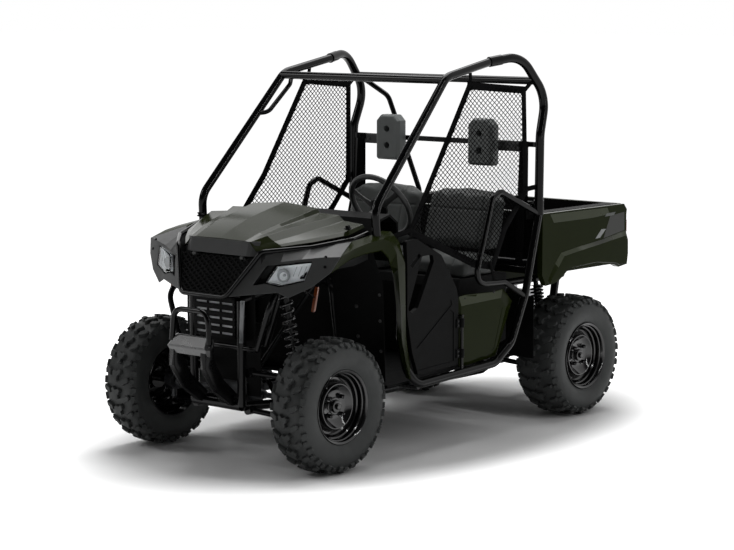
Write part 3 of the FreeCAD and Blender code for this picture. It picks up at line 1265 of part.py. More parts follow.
def main():
    os.makedirs("parts", exist_ok=True)
    left_rail = make_side_rail()
    rails = [left_rail, mirrored(left_rail)]
    grown = make_side_rail(SEAT_GAP)
    spaced = [grown, mirrored(grown)]
    nodes = {"side_rail_left": rails[0], "side_rail_right": rails[1]}
    nodes["chassis_frame"] = make_chassis_frame(rails)
    nodes["cage_front"] = make_cage_front().cut(rails)
    nodes["rear_hoop"] = make_rear_hoop(rails + [nodes["cage_front"], nodes["chassis_frame"]])
    nodes["hip_bars"] = make_hip_bars(rails + [nodes["rear_hoop"]])
    nodes["headrests"] = both(make_headrest()).cut(nodes["rear_hoop"])
    nodes["seat_cushions"] = both(make_cushion())
    nodes["seat_backs"] = both(make_back())
    nodes["seat_belts"] = both(make_seat_belt([nodes["rear_hoop"], nodes["chassis_frame"]]))
    nodes["seat_base"] = make_seat_base().cut(nodes["chassis_frame"])
    nodes["dash"] = make_dash()
    nodes["steering_wheel"] = make_steering_wheel()
    nodes["floor_pan"] = make_floor_pan(spaced + [nodes["chassis_frame"]])
    nodes["steering_column"] = make_steering_column([nodes["chassis_frame"]])
    nodes["dash"] = nodes["dash"].cut(nodes["steering_column"])
    nodes["floor_pan"] = nodes["floor_pan"].cut(nodes["steering_column"])
    nodes["fender_liners"] = both(make_fender_liner()).cut(spaced)
    nodes["side_panels"] = both(make_side_panel(spaced))
    nodes["hood"] = make_hood()
    nodes["nose_fascia"] = make_nose(nodes["cage_front"])
    nodes["front_fenders"] = both(make_front_fender(spaced + [nodes["cage_front"], nodes["nose_fascia"]]))
    nodes["side_nets"] = both(make_side_net([nodes["cage_front"], nodes["rear_hoop"], nodes["hip_bars"],
                                             nodes["front_fenders"], nodes["side_panels"]] + rails))
    nodes["headlamps"] = both(make_headlamp())
    nodes["radiator"] = make_radiator().cut(nodes["chassis_frame"])
    nodes["front_guard"] = make_front_guard([nodes["chassis_frame"]])
    nodes["suspension_arms"] = make_suspension_arms([nodes["chassis_frame"]])
    nodes["drivetrain"] = make_drivetrain([nodes["chassis_frame"], nodes["suspension_arms"]])
    nodes["shocks"] = make_shocks([nodes["chassis_frame"], nodes["suspension_arms"]])
    nodes["muffler"] = make_muffler([nodes["chassis_frame"]])
    left_knuckle = make_knuckle()
    nodes["knuckle_left"], nodes["knuckle_right"] = left_knuckle, mirrored(left_knuckle)
    nodes["steering_rack"] = make_steering_rack()
    left_door = make_door()
    nodes["door_left"], nodes["door_right"] = left_door, mirrored(left_door)
    nodes["bed_box"] = make_bed()
    nodes["tailgate"] = make_tailgate()
    nodes["tail_lamps"] = both(make_tail_lamp())
    for end, width, axle_y, inner_x in (("front", FRONT_TYRE_W, FRONT_AXLE_Y, KINGPIN_X - KNUCKLE_T / 2),
                                        ("rear", REAR_TYRE_W, REAR_AXLE_Y, REAR_CARRIER_X - REAR_BORE_L / 2)):
        centre = V(TRACK_HALF_OUT - width / 2, axle_y, AXLE_Z)
        rim = joined([make_rim(width), stub_axle(width, inner_x, centre.x)])
        for kind, shape in (("tyre", make_tyre(width).cut(rim)), ("rim", rim)):
            left = moved(shape, centre)
            nodes[kind + "_" + end + "_left"] = left
            nodes[kind + "_" + end + "_right"] = mirrored(left)
    for name, shape in nodes.items():
        export(name, shape)


main()
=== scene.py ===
import math

import bmesh
import bpy
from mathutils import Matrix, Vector


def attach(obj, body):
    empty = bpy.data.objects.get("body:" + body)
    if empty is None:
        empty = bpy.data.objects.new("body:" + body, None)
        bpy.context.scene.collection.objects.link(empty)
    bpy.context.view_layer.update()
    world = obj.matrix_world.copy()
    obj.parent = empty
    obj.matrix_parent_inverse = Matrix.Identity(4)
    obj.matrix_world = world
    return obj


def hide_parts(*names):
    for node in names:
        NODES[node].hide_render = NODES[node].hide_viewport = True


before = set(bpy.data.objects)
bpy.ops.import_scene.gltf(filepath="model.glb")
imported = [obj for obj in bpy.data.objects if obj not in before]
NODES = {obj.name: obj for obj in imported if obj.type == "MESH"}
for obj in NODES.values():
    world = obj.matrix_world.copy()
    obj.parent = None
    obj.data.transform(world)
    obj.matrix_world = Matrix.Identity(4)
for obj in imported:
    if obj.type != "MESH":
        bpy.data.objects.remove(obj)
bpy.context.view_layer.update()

WAYS = (-1, 1)
SIDE_NAMES = {1: "left", -1: "right"}

# Driving sizes in metres: x follows BODY_HALF, y follows WHEELBASE and z follows CAGE_TOP
WHEELBASE = 1.85
BODY_HALF = 0.6
CAGE_TOP = 1.8
AXLE_Z = 0.305
TYRE_R = 0.305
RIM_LIP_R = 0.167
FRONT_AXLE_Y = -0.94165
REAR_AXLE_Y = 0.90835
AHEAD, ALONG, UP = Vector((0, 1, 0)), Vector((1, 0, 0)), Vector((0, 0, 1))


def at(x_share, y_share, z_share):
    return Vector((BODY_HALF * x_share, WHEELBASE * y_share, CAGE_TOP * z_share))


# Materials
RELIEF_M = 0.0006
INPUTS = {"specular": "Specular IOR Level", "metallic": "Metallic", "coat": "Coat Weight",
          "coat_rough": "Coat Roughness", "through": "Transmission Weight", "ior": "IOR"}


def node(tree, kind, **values):
    """A shader node: capitalised values are its inputs, and the others are its settings."""
    made = tree.nodes.new("ShaderNode" + kind)
    for key, value in values.items():
        if key[0].isupper():
            made.inputs[key.replace("_", " ")].default_value = value
        else:
            setattr(made, key, value)
    return made


def wire(tree, *wires):
    """Each wire names a node, its output, the next node and that one's input."""
    for source, output, target, entry in wires:
        tree.links.new(source.outputs[output], target.inputs[entry])


def finish(name, colour, rough, grain=900.0, bump=0.1, mottle=0.18, spread=0.08, cells=False, **inputs):
    """A surface whose colour and gloss drift slowly, with a fine grain in relief."""
    made = bpy.data.materials.new(name)
    made.use_nodes = True
    tree = made.node_tree
    shader = tree.nodes["Principled BSDF"]
    for key, value in inputs.items():
        shader.inputs[INPUTS[key]].default_value = value
    place = node(tree, "TexCoord")
    drift = node(tree, "TexNoise", Scale=7.0, Detail=6.0, Roughness=0.62)
    ramp = node(tree, "ValToRGB")
    for stop, spot, share in zip(ramp.color_ramp.elements, (0.3, 0.72), (1 - mottle, 1 + mottle)):
        stop.position = spot
        stop.color = (*[c * share for c in colour], 1)
    smear = node(tree, "TexNoise", Scale=23.0, Detail=4.0, Roughness=0.55)
    gloss = node(tree, "MapRange", To_Min=max(0.03, rough - spread), To_Max=min(1.0, rough + spread))
    fine = node(tree, "TexVoronoi" if cells else "TexNoise", Scale=grain)
    relief = node(tree, "Bump", Strength=bump, Distance=RELIEF_M)
    wire(tree, (place, "Object", drift, "Vector"), (drift, "Fac", ramp, "Fac"),
         (ramp, "Color", shader, "Base Color"), (place, "Object", smear, "Vector"),
         (smear, "Fac", gloss, "Value"), (gloss, "Result", shader, "Roughness"),
         (place, "Object", fine, "Vector"), (fine, "Distance" if cells else "Fac", relief, "Height"),
         (relief, "Normal", shader, "Normal"))
    return made


# Each look: colour, roughness and what differs from the plain surface
LOOKS = {
    "frame_black": ((0.0034, 0.0034, 0.0038), 0.26, dict(grain=120, bump=0.02, specular=0.16, spread=0.05)),
    "tube_black": ((0.0016, 0.0016, 0.0018), 0.11, dict(grain=60, bump=0.004, specular=0.16, spread=0.03)),
    "soft_black": ((0.0085, 0.009, 0.009), 0.6, dict(grain=1500, bump=0.22, specular=0.12, cells=True)),
    "seat_vinyl": ((0.064, 0.068, 0.066), 0.46, dict(grain=1100, bump=0.3, specular=0.22, cells=True,
                                                     mottle=0.1)),
    "black_plastic": ((0.0042, 0.0043, 0.0044), 0.5, dict(grain=1300, bump=0.14, specular=0.04, cells=True)),
    "grey_plastic": ((0.052, 0.053, 0.053), 0.38, dict(grain=1300, specular=0.25, cells=True, mottle=0.1)),
    "net_black": ((0.0022, 0.0022, 0.0024), 0.8, dict(grain=2600, bump=0.5, specular=0.05)),
    "green_panel": ((0.014, 0.019, 0.0042), 0.17, dict(grain=40, bump=0.003, specular=0.03, mottle=0.06,
                                                       spread=0.02)),
    "green_hood": ((0.015, 0.019, 0.006), 0.17, dict(grain=40, bump=0.002, specular=0.12, mottle=0.06,
                                                     spread=0.02)),
    # Lighter green for sloped ledges and facets: a painted highlight
    "green_painted_highlight": ((0.05, 0.058, 0.034), 0.3, dict(grain=60, bump=0.004, specular=0.1, mottle=0.06)),
    "lamp_clear": ((0.74, 0.76, 0.77), 0.1, dict(grain=60, bump=0.02, mottle=0.05, spread=0.03)),
    "lamp_red": ((0.22, 0.004, 0.004), 0.16, dict(grain=240, bump=0.2, coat=0.4, coat_rough=0.06)),
    # Reflector surfaces: flat light grey and a dimmer mid grey without metal, a painted reflection in place
    # of chrome
    "lamp_painted_reflection": ((0.92, 0.93, 0.94), 0.42, dict(grain=26, bump=0.05, mottle=0.06, spread=0.05)),
    "lamp_painted_dim_reflection": ((0.42, 0.43, 0.44), 0.3, dict(grain=26, bump=0.05, mottle=0.08, spread=0.05)),
    "lens": ((0.93, 0.95, 0.96), 0.045, dict(grain=40, bump=0.01, mottle=0.02, spread=0.012, through=1.0,
                                             ior=1.32)),
    "amber": ((0.2, 0.042, 0.008), 0.26, dict(grain=500, bump=0.5, coat=0.5, coat_rough=0.06, cells=True)),
    "spring_black": ((0.006, 0.006, 0.0065), 0.18, dict(grain=200, bump=0.03, specular=0.8)),
    "cast_metal": ((0.06, 0.062, 0.065), 0.48, dict(grain=520, bump=0.5, metallic=0.7, mottle=0.35)),
    "radiator_fins": ((0.8, 0.81, 0.82), 0.4, dict(bump=0.2, metallic=0.2, mottle=0.15)),
    "steel": ((0.3, 0.3, 0.31), 0.3, dict(grain=800, metallic=1.0)),
    "stay_grey": ((0.16, 0.165, 0.17), 0.35, dict(grain=500, bump=0.12, metallic=0.4, mottle=0.15)),
    "guard_sheen": ((0.03, 0.03, 0.031), 0.28, dict(grain=60, bump=0.004, specular=0.8, mottle=0.1)),
    "tyre": ((0.036, 0.0382, 0.0378), 0.56, dict(grain=700, bump=0.22, specular=0.25, mottle=0.2)),
    "rim_black": ((0.0025, 0.0025, 0.003), 0.11, dict(grain=90, bump=0.015, specular=0.55, spread=0.03)),
    "wing_grey": ((0.046, 0.047, 0.047), 0.42, dict(grain=1300, bump=0.08, specular=0.3, cells=True,
                                                    mottle=0.08)),
    "headrest_skin": ((0.15, 0.16, 0.157), 0.42, dict(grain=1200, bump=0.14, specular=0.3, cells=True,
                                                      mottle=0.08)),
    "steering_grip": ((0.03, 0.031, 0.031), 0.42, dict(grain=1400, bump=0.2, specular=0.3, cells=True)),
    "bed_stripe": ((0.3, 0.31, 0.31), 0.35, dict(bump=0.03, specular=0.3, mottle=0.12)),
    "bed_stripe_upper": ((0.085, 0.09, 0.085), 0.35, dict(bump=0.03, specular=0.3, mottle=0.12)),
    "bed_patch": ((0.0065, 0.0075, 0.004), 0.34, dict(bump=0.03, specular=0.3, mottle=0.12)),
}
M = {name: finish(name, colour, rough, **more) for name, (colour, rough, more) in LOOKS.items()}
for obj in NODES.values():
    for slot in obj.material_slots:
        plain = slot.material.name.split(".")[0] if slot.material else ""
        if plain in M:
            slot.material = M[plain]


# Camera at the photograph's angle
CAMERA_PLACE = (6.922603, -8.089311, 2.110404)
CAMERA_YAW = math.radians(40.857)
CAMERA_PITCH = math.radians(7.271)
FOCAL_PX = 2192.98
FRAME_W_PX = 734
CENTRE_X_PX = 364.35
SENSOR_MM = 36.0
CLIP_END = 200.0


def linked(name, data):
    obj = bpy.data.objects.new(name, data)
    bpy.context.scene.collection.objects.link(obj)
    return obj


def make_camera():
    data = bpy.data.cameras.new("camera")
    data.sensor_fit = "HORIZONTAL"
    data.sensor_width = SENSOR_MM
    data.lens = FOCAL_PX / FRAME_W_PX * SENSOR_MM
    data.shift_x = (FRAME_W_PX / 2 - CENTRE_X_PX) / FRAME_W_PX
    data.clip_end = CLIP_END
    camera = linked("camera", data)
    camera.location = CAMERA_PLACE
    level = math.cos(CAMERA_PITCH)
    look = Vector((-math.sin(CAMERA_YAW) * level, math.cos(CAMERA_YAW) * level, -math.sin(CAMERA_PITCH)))
    camera.rotation_euler = look.to_track_quat("-Z", "Y").to_euler()
    bpy.context.scene.camera = camera


# Stage: pale floor, white surroundings and soft lamps
FLOOR_HALF = 90.0
FLOOR_COLOUR = 0.9
FLOOR_DROP = -0.0005
# Sizes of the ellipse round the vehicle inside which the floor gets no white top-up: painted shade round the
# vehicle
PAINTED_SHADE_REACH = (0.78, 1.34, 1.0)
AMBIENT = 0.17
OVERHEAD = 0.05
REAR_GLOW = 1.0
WHITE = (1, 1, 1, 1)
# Each lamp: name, place, target, size, power in watts
LAMPS = [("top", (-0.9, 1.0, 5.2), (0.0, -0.1, 0.0), (3.6, 3.6), 190.0),
         ("left_strip", (5.0, 0.3, 3.6), (0.0, 0.1, 1.0), (0.13, 5.2), 60.0),
         ("front_box", (-4.4, -4.4, 4.6), (0.0, -0.6, 0.6), (1.9, 1.9), 70.0)]


def seen_rays(tree):
    """A node of one where a camera, glossy or transmission ray looks, and zero for a diffuse ray."""
    path = node(tree, "LightPath")
    first = node(tree, "Math", operation="MAXIMUM")
    both = node(tree, "Math", operation="MAXIMUM")
    wire(tree, (path, "Is Camera Ray", first, 0), (path, "Is Glossy Ray", first, 1), (first, 0, both, 0),
         (path, "Is Transmission Ray", both, 1))
    return both


def make_world():
    """White round the horizon and behind, and dark overhead in front, so that dark gloss keeps its depth."""
    world = bpy.data.worlds.new("studio")
    bpy.context.scene.world = world
    world.use_nodes = True
    tree = world.node_tree
    tree.nodes.clear()
    dim = node(tree, "Background", Strength=AMBIENT, Color=WHITE)
    white = node(tree, "Background", Strength=1.0, Color=WHITE)
    place = node(tree, "TexCoord")
    axes = node(tree, "SeparateXYZ")
    fall = node(tree, "MapRange", interpolation_type="SMOOTHSTEP", From_Min=0.04, From_Max=0.24, To_Min=1.0)
    rear = node(tree, "MapRange", interpolation_type="SMOOTHSTEP", From_Min=0.05, From_Max=0.42,
                To_Min=OVERHEAD,
                To_Max=REAR_GLOW)
    mix = node(tree, "MixShader")
    wire(tree, (place, "Generated", axes, 0), (axes, "Y", rear, "Value"), (rear, "Result", fall, "To Max"),
         (axes, "Z", fall, "Value"), (fall, "Result", white, "Strength"), (seen_rays(tree), 0, mix, "Fac"),
         (dim, 0, mix, 1), (white, 0, mix, 2), (mix, 0, node(tree, "OutputWorld"), "Surface"))


def floor_material():
    """Diffuse white that takes the real shadow, topped up to white where the lamps fall off; the top-up
    starts only outside an ellipse round the vehicle, so the floor inside it stays greyer: painted shade.
    """
    made = bpy.data.materials.new("floor")
    made.use_nodes = True
    tree = made.node_tree
    tree.nodes.clear()
    matte = node(tree, "BsdfDiffuse", Color=(FLOOR_COLOUR,) * 3 + (1,))
    glow = node(tree, "Emission", Color=WHITE)
    place = node(tree, "TexCoord")
    shares = node(tree, "VectorMath", operation="DIVIDE")
    shares.inputs[1].default_value = PAINTED_SHADE_REACH
    length = node(tree, "VectorMath", operation="LENGTH")
    rise = node(tree, "MapRange", interpolation_type="SMOOTHSTEP", From_Min=1.02, From_Max=1.58, To_Min=0.0,
                To_Max=0.9)
    amount = node(tree, "Math", operation="MULTIPLY")
    add = node(tree, "AddShader")
    wire(tree, (place, "Object", shares, 0), (shares, "Vector", length, 0), (length, "Value", rise, "Value"),
         (rise, "Result", amount, 0), (seen_rays(tree), 0, amount, 1), (amount, 0, glow, "Strength"),
         (matte, 0, add, 0), (glow, 0, add, 1), (add, 0, node(tree, "OutputMaterial"), "Surface"))
    return made


def make_floor():
    mesh = bpy.data.meshes.new("floor")
    h = FLOOR_HALF
    mesh.from_pydata([(-h, -h, 0), (h, -h, 0), (h, h, 0), (-h, h, 0)], [], [(0, 1, 2, 3)])
    floor = linked("floor", mesh)
    floor.location.z = FLOOR_DROP
    mesh.materials.append(floor_material())


def make_lamps():
    for name, place, target, size, power in LAMPS:
        data = bpy.data.lights.new(name, "AREA")
        data.shape = "RECTANGLE"
        data.size, data.size_y = size
        data.energy = power
        lamp = linked(name, data)
        lamp.location = place
        lamp.rotation_euler = (Vector(target) - Vector(place)).to_track_quat("-Z", "Y").to_euler()


bpy.context.scene.view_settings.view_transform = "Standard"
make_camera()
make_world()
make_floor()
make_lamps()


# Mesh tools
WELD_DIST = 1e-6
PLACED = {}


def welded(name, verts, faces):
    """A mesh whose doubled vertices are joined and whose faces look outward."""
    mesh = bpy.data.meshes.new(name)
    mesh.from_pydata([tuple(v) for v in verts], [], faces)
    work = bmesh.new()
    work.from_mesh(mesh)
    bmesh.ops.remove_doubles(work, verts=work.verts, dist=WELD_DIST)
    bmesh.ops.recalc_face_normals(work, faces=work.faces)
    work.to_mesh(mesh)
    work.free()
    return mesh


def piece(name, verts, faces, slot, body, replaces=(), angle=40, look=None):
    """A mesh object with the slot's finish, or another look, that rides on a body."""
    mesh = welded(name, verts, faces)
    mesh.shade_smooth()
    mesh.set_sharp_from_angle(angle=math.radians(angle))
    mesh.materials.append(M[look or slot])
    obj = linked(name, mesh)
    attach(obj, body)
    PLACED[name] = slot, body
    if replaces:
        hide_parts(*replaces)
    return obj


class Build:
    """Collects vertices and faces of one piece."""

    def __init__(self):
        self.verts, self.faces = [], []

    def add(self, verts, faces):
        start = len(self.verts)
        self.verts += [Vector(v) for v in verts]
        self.faces += [tuple(start + i for i in f) for f in faces]

    def add_mirrored(self, part):
        """Another build's shape on both sides of the vehicle."""
        for side in WAYS:
            self.add([Vector((side * v.x, v.y, v.z)) for v in part.verts], part.faces)

    def loft(self, rings, closed=True, caps=True, loop=False, lid=False):
        """Rings of the same number of points, joined by quads; a lid closes only the last ring."""
        count = len(rings[0])
        verts = [v for ring in rings for v in ring]
        faces = []
        for r in range(len(rings) if loop else len(rings) - 1):
            a, b = r * count, (r + 1) % len(rings) * count
            for i in range(count if closed else count - 1):
                j = (i + 1) % count
                faces.append((a + i, a + j, b + j, b + i))
        if caps and not loop and not lid:
            faces.append(tuple(range(count)))
        if caps and not loop:
            faces.append(tuple(range((len(rings) - 1) * count, len(rings) * count)))
        self.add(verts, faces)

    def make(self, name, slot, body, **more):
        return piece(name, self.verts, self.faces, slot, body, **more)


def modify(obj, kind, **values):
    made = obj.modifiers.new(kind.lower(), kind)
    for key, value in values.items():
        setattr(made, key, value)
    return made


def walled(obj, thickness, offset=-1):
    modify(obj, "SOLIDIFY", thickness=thickness, offset=offset)
    return obj


def rounded(obj, width, segments=2, angle=18):
    """Rounds a piece's edges where its faces turn by more than the angle."""
    modify(obj, "BEVEL", width=width, segments=segments, limit_method="ANGLE",
           angle_limit=math.radians(angle))
    modify(obj, "WEIGHTED_NORMAL", keep_sharp=False)
    return obj


def baked(obj):
    """Replaces a piece's mesh by the result of its modifiers."""
    graph = bpy.context.evaluated_depsgraph_get()
    mesh = bpy.data.meshes.new_from_object(obj.evaluated_get(graph))
    obj.modifiers.clear()
    old, obj.data = obj.data, mesh
    bpy.data.meshes.remove(old)


def pushed(ring, depth):
    """The vertices and faces of an outline pushed along the vector depth."""
    count = len(ring)
    faces = [tuple(range(count)), tuple(range(2 * count - 1, count - 1, -1))]
    faces += [(i, i + count, (i + 1) % count + count, (i + 1) % count) for i in range(count)]
    return [Vector(p) for p in ring] + [Vector(p) + Vector(depth) for p in ring], faces


def cut_away(obj, ring, depth):
    """Cuts an outline pushed along the vector depth out of a piece."""
    mesh = welded("cutter", *pushed(ring, depth))
    cutter = linked("cutter", mesh)
    modify(obj, "BOOLEAN", operation="DIFFERENCE", object=cutter, solver="EXACT")
    baked(obj)
    bpy.data.objects.remove(cutter)
    bpy.data.meshes.remove(mesh)


def bent_path(points, bend, steps=6):
    """Points along straight runs whose corners are arcs of about the radius bend."""
    points = [Vector(p) for p in points]
    path = points[:1]
    for before, here, after in zip(points, points[1:], points[2:]):
        a, b = before - here, after - here
        reach = min(bend / math.tan(a.angle(b) / 2), min(a.length, b.length) / 2.05)
        start, end = here + a.normalized() * reach, here + b.normalized() * reach
        for step in range(steps + 1):
            t = step / steps
            path.append(start * (1 - t) ** 2 + here * 2 * t * (1 - t) + end * t ** 2)
    return path + points[-1:]


def pipe(build, path, radius, sides=16, wide=None, up=UP):
    """A tube along points; wide gives it a flat section of that half width along the side direction."""
    rings = []
    for before, here, after in zip(path[:1] + path, path, path[1:] + path[-1:]):
        way = (after - before).normalized()
        side = way.cross(up)
        side = side.normalized() if side.length > 1e-4 else way.orthogonal().normalized()
        top = side.cross(way).normalized()
        rings.append([here + side * ((wide or radius) * math.cos(2 * math.pi * k / sides))
                      + top * (radius * math.sin(2 * math.pi * k / sides)) for k in range(sides)])
    build.loft(rings)


def mirrored_points(points):
    return [Vector((-p.x, p.y, p.z)) for p in points]


def box_shape(build, low, high, chamfer=0.0):
    """A block between two corners, with its upright edges cut by the chamfer."""
    low, high, c = Vector(low), Vector(high), chamfer
    ring = [(low.x + c, low.y), (high.x - c, low.y), (high.x, low.y + c), (high.x, high.y - c),
            (high.x - c, high.y), (low.x + c, high.y), (low.x, high.y - c), (low.x, low.y + c)]
    if not c:
        ring = [(low.x, low.y), (high.x, low.y), (high.x, high.y), (low.x, high.y)]
    build.loft([[Vector((x, y, z)) for x, y in ring] for z in (low.z, high.z)])


def disc_ring(centre, radius, axis, sides=28):
    """A ring of points around a line along an axis."""
    axis = Vector(axis).normalized()
    side = axis.orthogonal().normalized()
    up = axis.cross(side)
    return [centre + side * (radius * math.cos(2 * math.pi * i / sides))
            + up * (radius * math.sin(2 * math.pi * i / sides)) for i in range(sides)]


def turned_solid(build, centre, axis, profile, sides=28):
    """A lathed solid: profile pairs of distance along the axis and radius."""
    axis = Vector(axis).normalized()
    build.loft([disc_ring(centre + axis * a, max(r, 0.00005), axis, sides) for a, r in profile])


def bolt(build, place, out, radius=0.006, height=0.004):
    """A six sided bolt head with a bevelled top on its washer."""
    place, out = Vector(place), Vector(out).normalized()
    turned_solid(build, place, out, [(0, radius * 1.5), (0.0012, radius * 1.5), (0.0015, radius * 1.4)], 20)
    build.loft([disc_ring(place + out * a, r, out, 6) for a, r in
                ((0.001, radius), (height * 0.8, radius), (height, radius * 0.82))])


COPIED_VALUES = ("thickness", "offset", "width", "segments", "limit_method", "angle_limit", "keep_sharp",
                 "levels", "render_levels")


def side_bolts(build, side, places, size):
    for x, y, z in places:
        bolt(build, (side * x, y, z), (side, 0, 0), *size)


def mirror_piece(obj):
    """A copy of a left piece on the right side of the vehicle, on the same body."""
    name = obj.name.replace("left", "right")
    mesh = obj.data.copy()
    mesh.name = name
    for v in mesh.vertices:
        v.co.x = -v.co.x
    mesh.flip_normals()
    other = linked(name, mesh)
    for old in obj.modifiers:
        modify(other, old.type, **{key: getattr(old, key) for key in COPIED_VALUES if hasattr(old, key)})
    slot, body = PLACED[obj.name]
    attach(other, body)
    return other


# Softened edges on the CAD's own panels, tubes and castings
NODE_WELD = 0.00002
EDGE_WIDTHS = {"bed_box": 0.0035, "tailgate": 0.004, "door_left": 0.0025, "door_right": 0.0025,
               "front_fenders": 0.0022, "seat_base": 0.006, "floor_pan": 0.0015, "fender_liners": 0.001,
               "chassis_frame": 0.001, "muffler": 0.003, "drivetrain": 0.004, "knuckle_left": 0.003,
               "knuckle_right": 0.003, "suspension_arms": 0.0012, "steering_column": 0.0012,
               "steering_rack": 0.0012, "rear_hoop": 0.0008, "cage_front": 0.0008, "tail_lamps": 0.0025,
               "side_rail_left": 0.0008, "side_rail_right": 0.0008, "hip_bars": 0.0008}
for part, width in EDGE_WIDTHS.items():
    if part in NODES:
        modify(NODES[part], "WELD", merge_threshold=NODE_WELD)
        rounded(NODES[part], width, angle=28)


# Tyres: a rounded carcass with separate modelled knobs, bars and shoulder lugs
LUG_PITCHES = 22
LUG_DEPTH = 0.017
LUG_CHAMFER = 0.0024
LUG_SINK = 0.004
CARCASS_TURNS = 96
TRACK_HALF_OUT = 0.635
TYRE_GAP = 0.004
BEAD_DROP = 0.006
AXLES = {"front": FRONT_AXLE_Y, "rear": REAR_AXLE_Y}
TYRE_WIDTHS = {"front": 0.2, "rear": 0.252}
carcass_half = [(0.36, 0.0), (0.43, 0.07), (0.47, 0.22), (0.492, 0.42), (0.492, 0.6), (0.47, 0.76),
                (0.425, 0.885), (0.36, 0.955), (0.27, 0.985), (0.14, 0.998)]
carcass_shares = [(-x, r) for x, r in carcass_half] + [(0.0, 1.0)] + carcass_half[::-1]
# Lug outlines: shares across the section from bead to bead, and shares of a pitch round the tyre
knob_shares = [(0.452, 0.1), (0.47, 0.02), (0.497, 0.16), (0.53, 0.1), (0.548, 0.2), (0.536, 0.38),
               (0.52, 0.46), (0.522, 0.66), (0.505, 0.72), (0.487, 0.68), (0.486, 0.44), (0.455, 0.28)]
bar_shares = [(0.568, 0.62), (0.606, 0.5), (0.645, 0.44), (0.654, 0.6), (0.64, 0.74), (0.602, 0.82),
              (0.578, 0.9), (0.566, 0.8)]
shoulder_shares = [(0.674, 0.04), (0.7, 0.0), (0.738, 0.03), (0.742, 0.3), (0.706, 0.33), (0.686, 0.42),
                   (0.672, 0.36)]
heel_shares = [(0.668, 0.56), (0.69, 0.5), (0.716, 0.54), (0.716, 0.76), (0.69, 0.82), (0.67, 0.76)]
# Rings of a lug from its foot up: share of its depth, length off that, and growth about its middle
lug_rings = [(0, -LUG_SINK, 1.1), (0.5, 0, 1.03), (1, -LUG_CHAMFER, 1.0), (1, 0, 0.91)]


def carcass_point(width, share, lift=0.0):
    """A place on the tyre's section: share runs from bead to bead, and lift goes outward."""
    spot = share * (len(carcass_shares) - 1)
    low = min(int(spot), len(carcass_shares) - 2)
    foot = RIM_LIP_R - BEAD_DROP
    rise = TYRE_R - LUG_DEPTH - foot
    (xa, ra), (xb, rb) = carcass_shares[low], carcass_shares[low + 1]
    here = Vector(((xa + (xb - xa) * (spot - low)) * width, foot + (ra + (rb - ra) * (spot - low)) * rise))
    along = Vector(((xb - xa) * width, (rb - ra) * rise)).normalized()
    return here + Vector((-along.y, along.x)) * lift


def spun(point, angle, centre):
    return centre + Vector((point.x, point.y * math.cos(angle), point.y * math.sin(angle)))


def add_lug(build, outline, width, shift, centre, mirror, depth=1.0):
    """One lug: its foot flares into the carcass and its top edge is chamfered."""
    step = 2 * math.pi / LUG_PITCHES
    mean_s = sum(s for s, _ in outline) / len(outline)
    mean_p = sum(p for _, p in outline) / len(outline)
    rings = []
    for level, extra, scale in lug_rings:
        ring = []
        for s, p in outline:
            share = mean_s + (s - mean_s) * scale
            turn = mean_p + (p - mean_p) * scale
            spot = carcass_point(width, 1 - share if mirror else share, level * depth * LUG_DEPTH + extra)
            ring.append(spun(spot, (turn + shift) * step, centre))
        rings.append(ring)
    build.loft(rings)


def make_tyre(end, side):
    width = TYRE_WIDTHS[end]
    build = Build()
    centre = Vector((side * (TRACK_HALF_OUT - width / 2 - TYRE_GAP), AXLES[end], AXLE_Z))
    steps = (len(carcass_shares) - 1) * 2
    rings, beads = [], []
    for turn in range(CARCASS_TURNS):
        angle = 2 * math.pi * turn / CARCASS_TURNS
        rings.append([spun(carcass_point(width, i / steps), angle, centre) for i in range(steps + 1)])
        beads.append([spun(carcass_point(width, bead), angle, centre) for bead in (0, 1)])
    for loop in (rings, beads):
        build.loft(loop, closed=False, loop=True)
    for pitch in range(LUG_PITCHES):
        add_lug(build, knob_shares, width, pitch, centre, pitch % 2 == 0)
        for mirror, shift in ((False, 0.0), (True, 0.5)):
            for shares, depth in ((bar_shares, 0.96), (shoulder_shares, 0.72), (heel_shares, 0.6)):
                add_lug(build, shares, width, pitch + shift, centre, mirror, depth)
    build.make("tyre_%s%s_piece" % (end[0], SIDE_NAMES[side][0]), "tyre",
               "wheel_%s_%s" % (end, SIDE_NAMES[side]),
               replaces=["tyre_%s_%s" % (end, SIDE_NAMES[side])], angle=24)


for end in AXLES:
    for side in SIDE_NAMES:
        make_tyre(end, side)


# Rims: turned steel barrel and dished disc, lug nuts, hub and stub axle
RIM_TURNS = 72
NUTS = 4
NUT_CIRCLE_R = 0.055
NUT_INSET = 0.067
STEM_INSET = 0.062
STEM_CIRCLE_R = 0.128
STEM_ANGLE = 2.3
AXLE_END_X = {"front": 0.43, "rear": 0.41}
# Rows of inset from the tyre's outer face and radius
rim_profile = [
    (0.017, 0.156), (0.0135, 0.16), (0.011, 0.165), (0.0125, 0.167), (0.015, 0.1665), (0.016, 0.163),
    (0.0185, 0.159), (0.026, 0.156), (0.032, 0.154), (0.0345, 0.149), (0.038, 0.1475), (0.056, 0.1455),
    (0.06, 0.14), (0.064, 0.1385), (0.074, 0.1375), (0.079, 0.134), (0.083, 0.127), (0.083, 0.118),
    (0.076, 0.111), (0.056, 0.1062), (0.049, 0.1045), (0.0455, 0.1015), (0.0455, 0.0975), (0.05, 0.093),
    (0.058, 0.084), (0.064, 0.074), (0.066, 0.069), (0.066, 0.042), (0.064, 0.0385), (0.06, 0.037),
    (0.06, 0.03), (0.048, 0.0275), (0.047, 0.024), (0.047, 0.015), (0.043, 0.014), (0.036, 0.0135),
    (0.0345, 0.011), (0.0345, 0.0)]
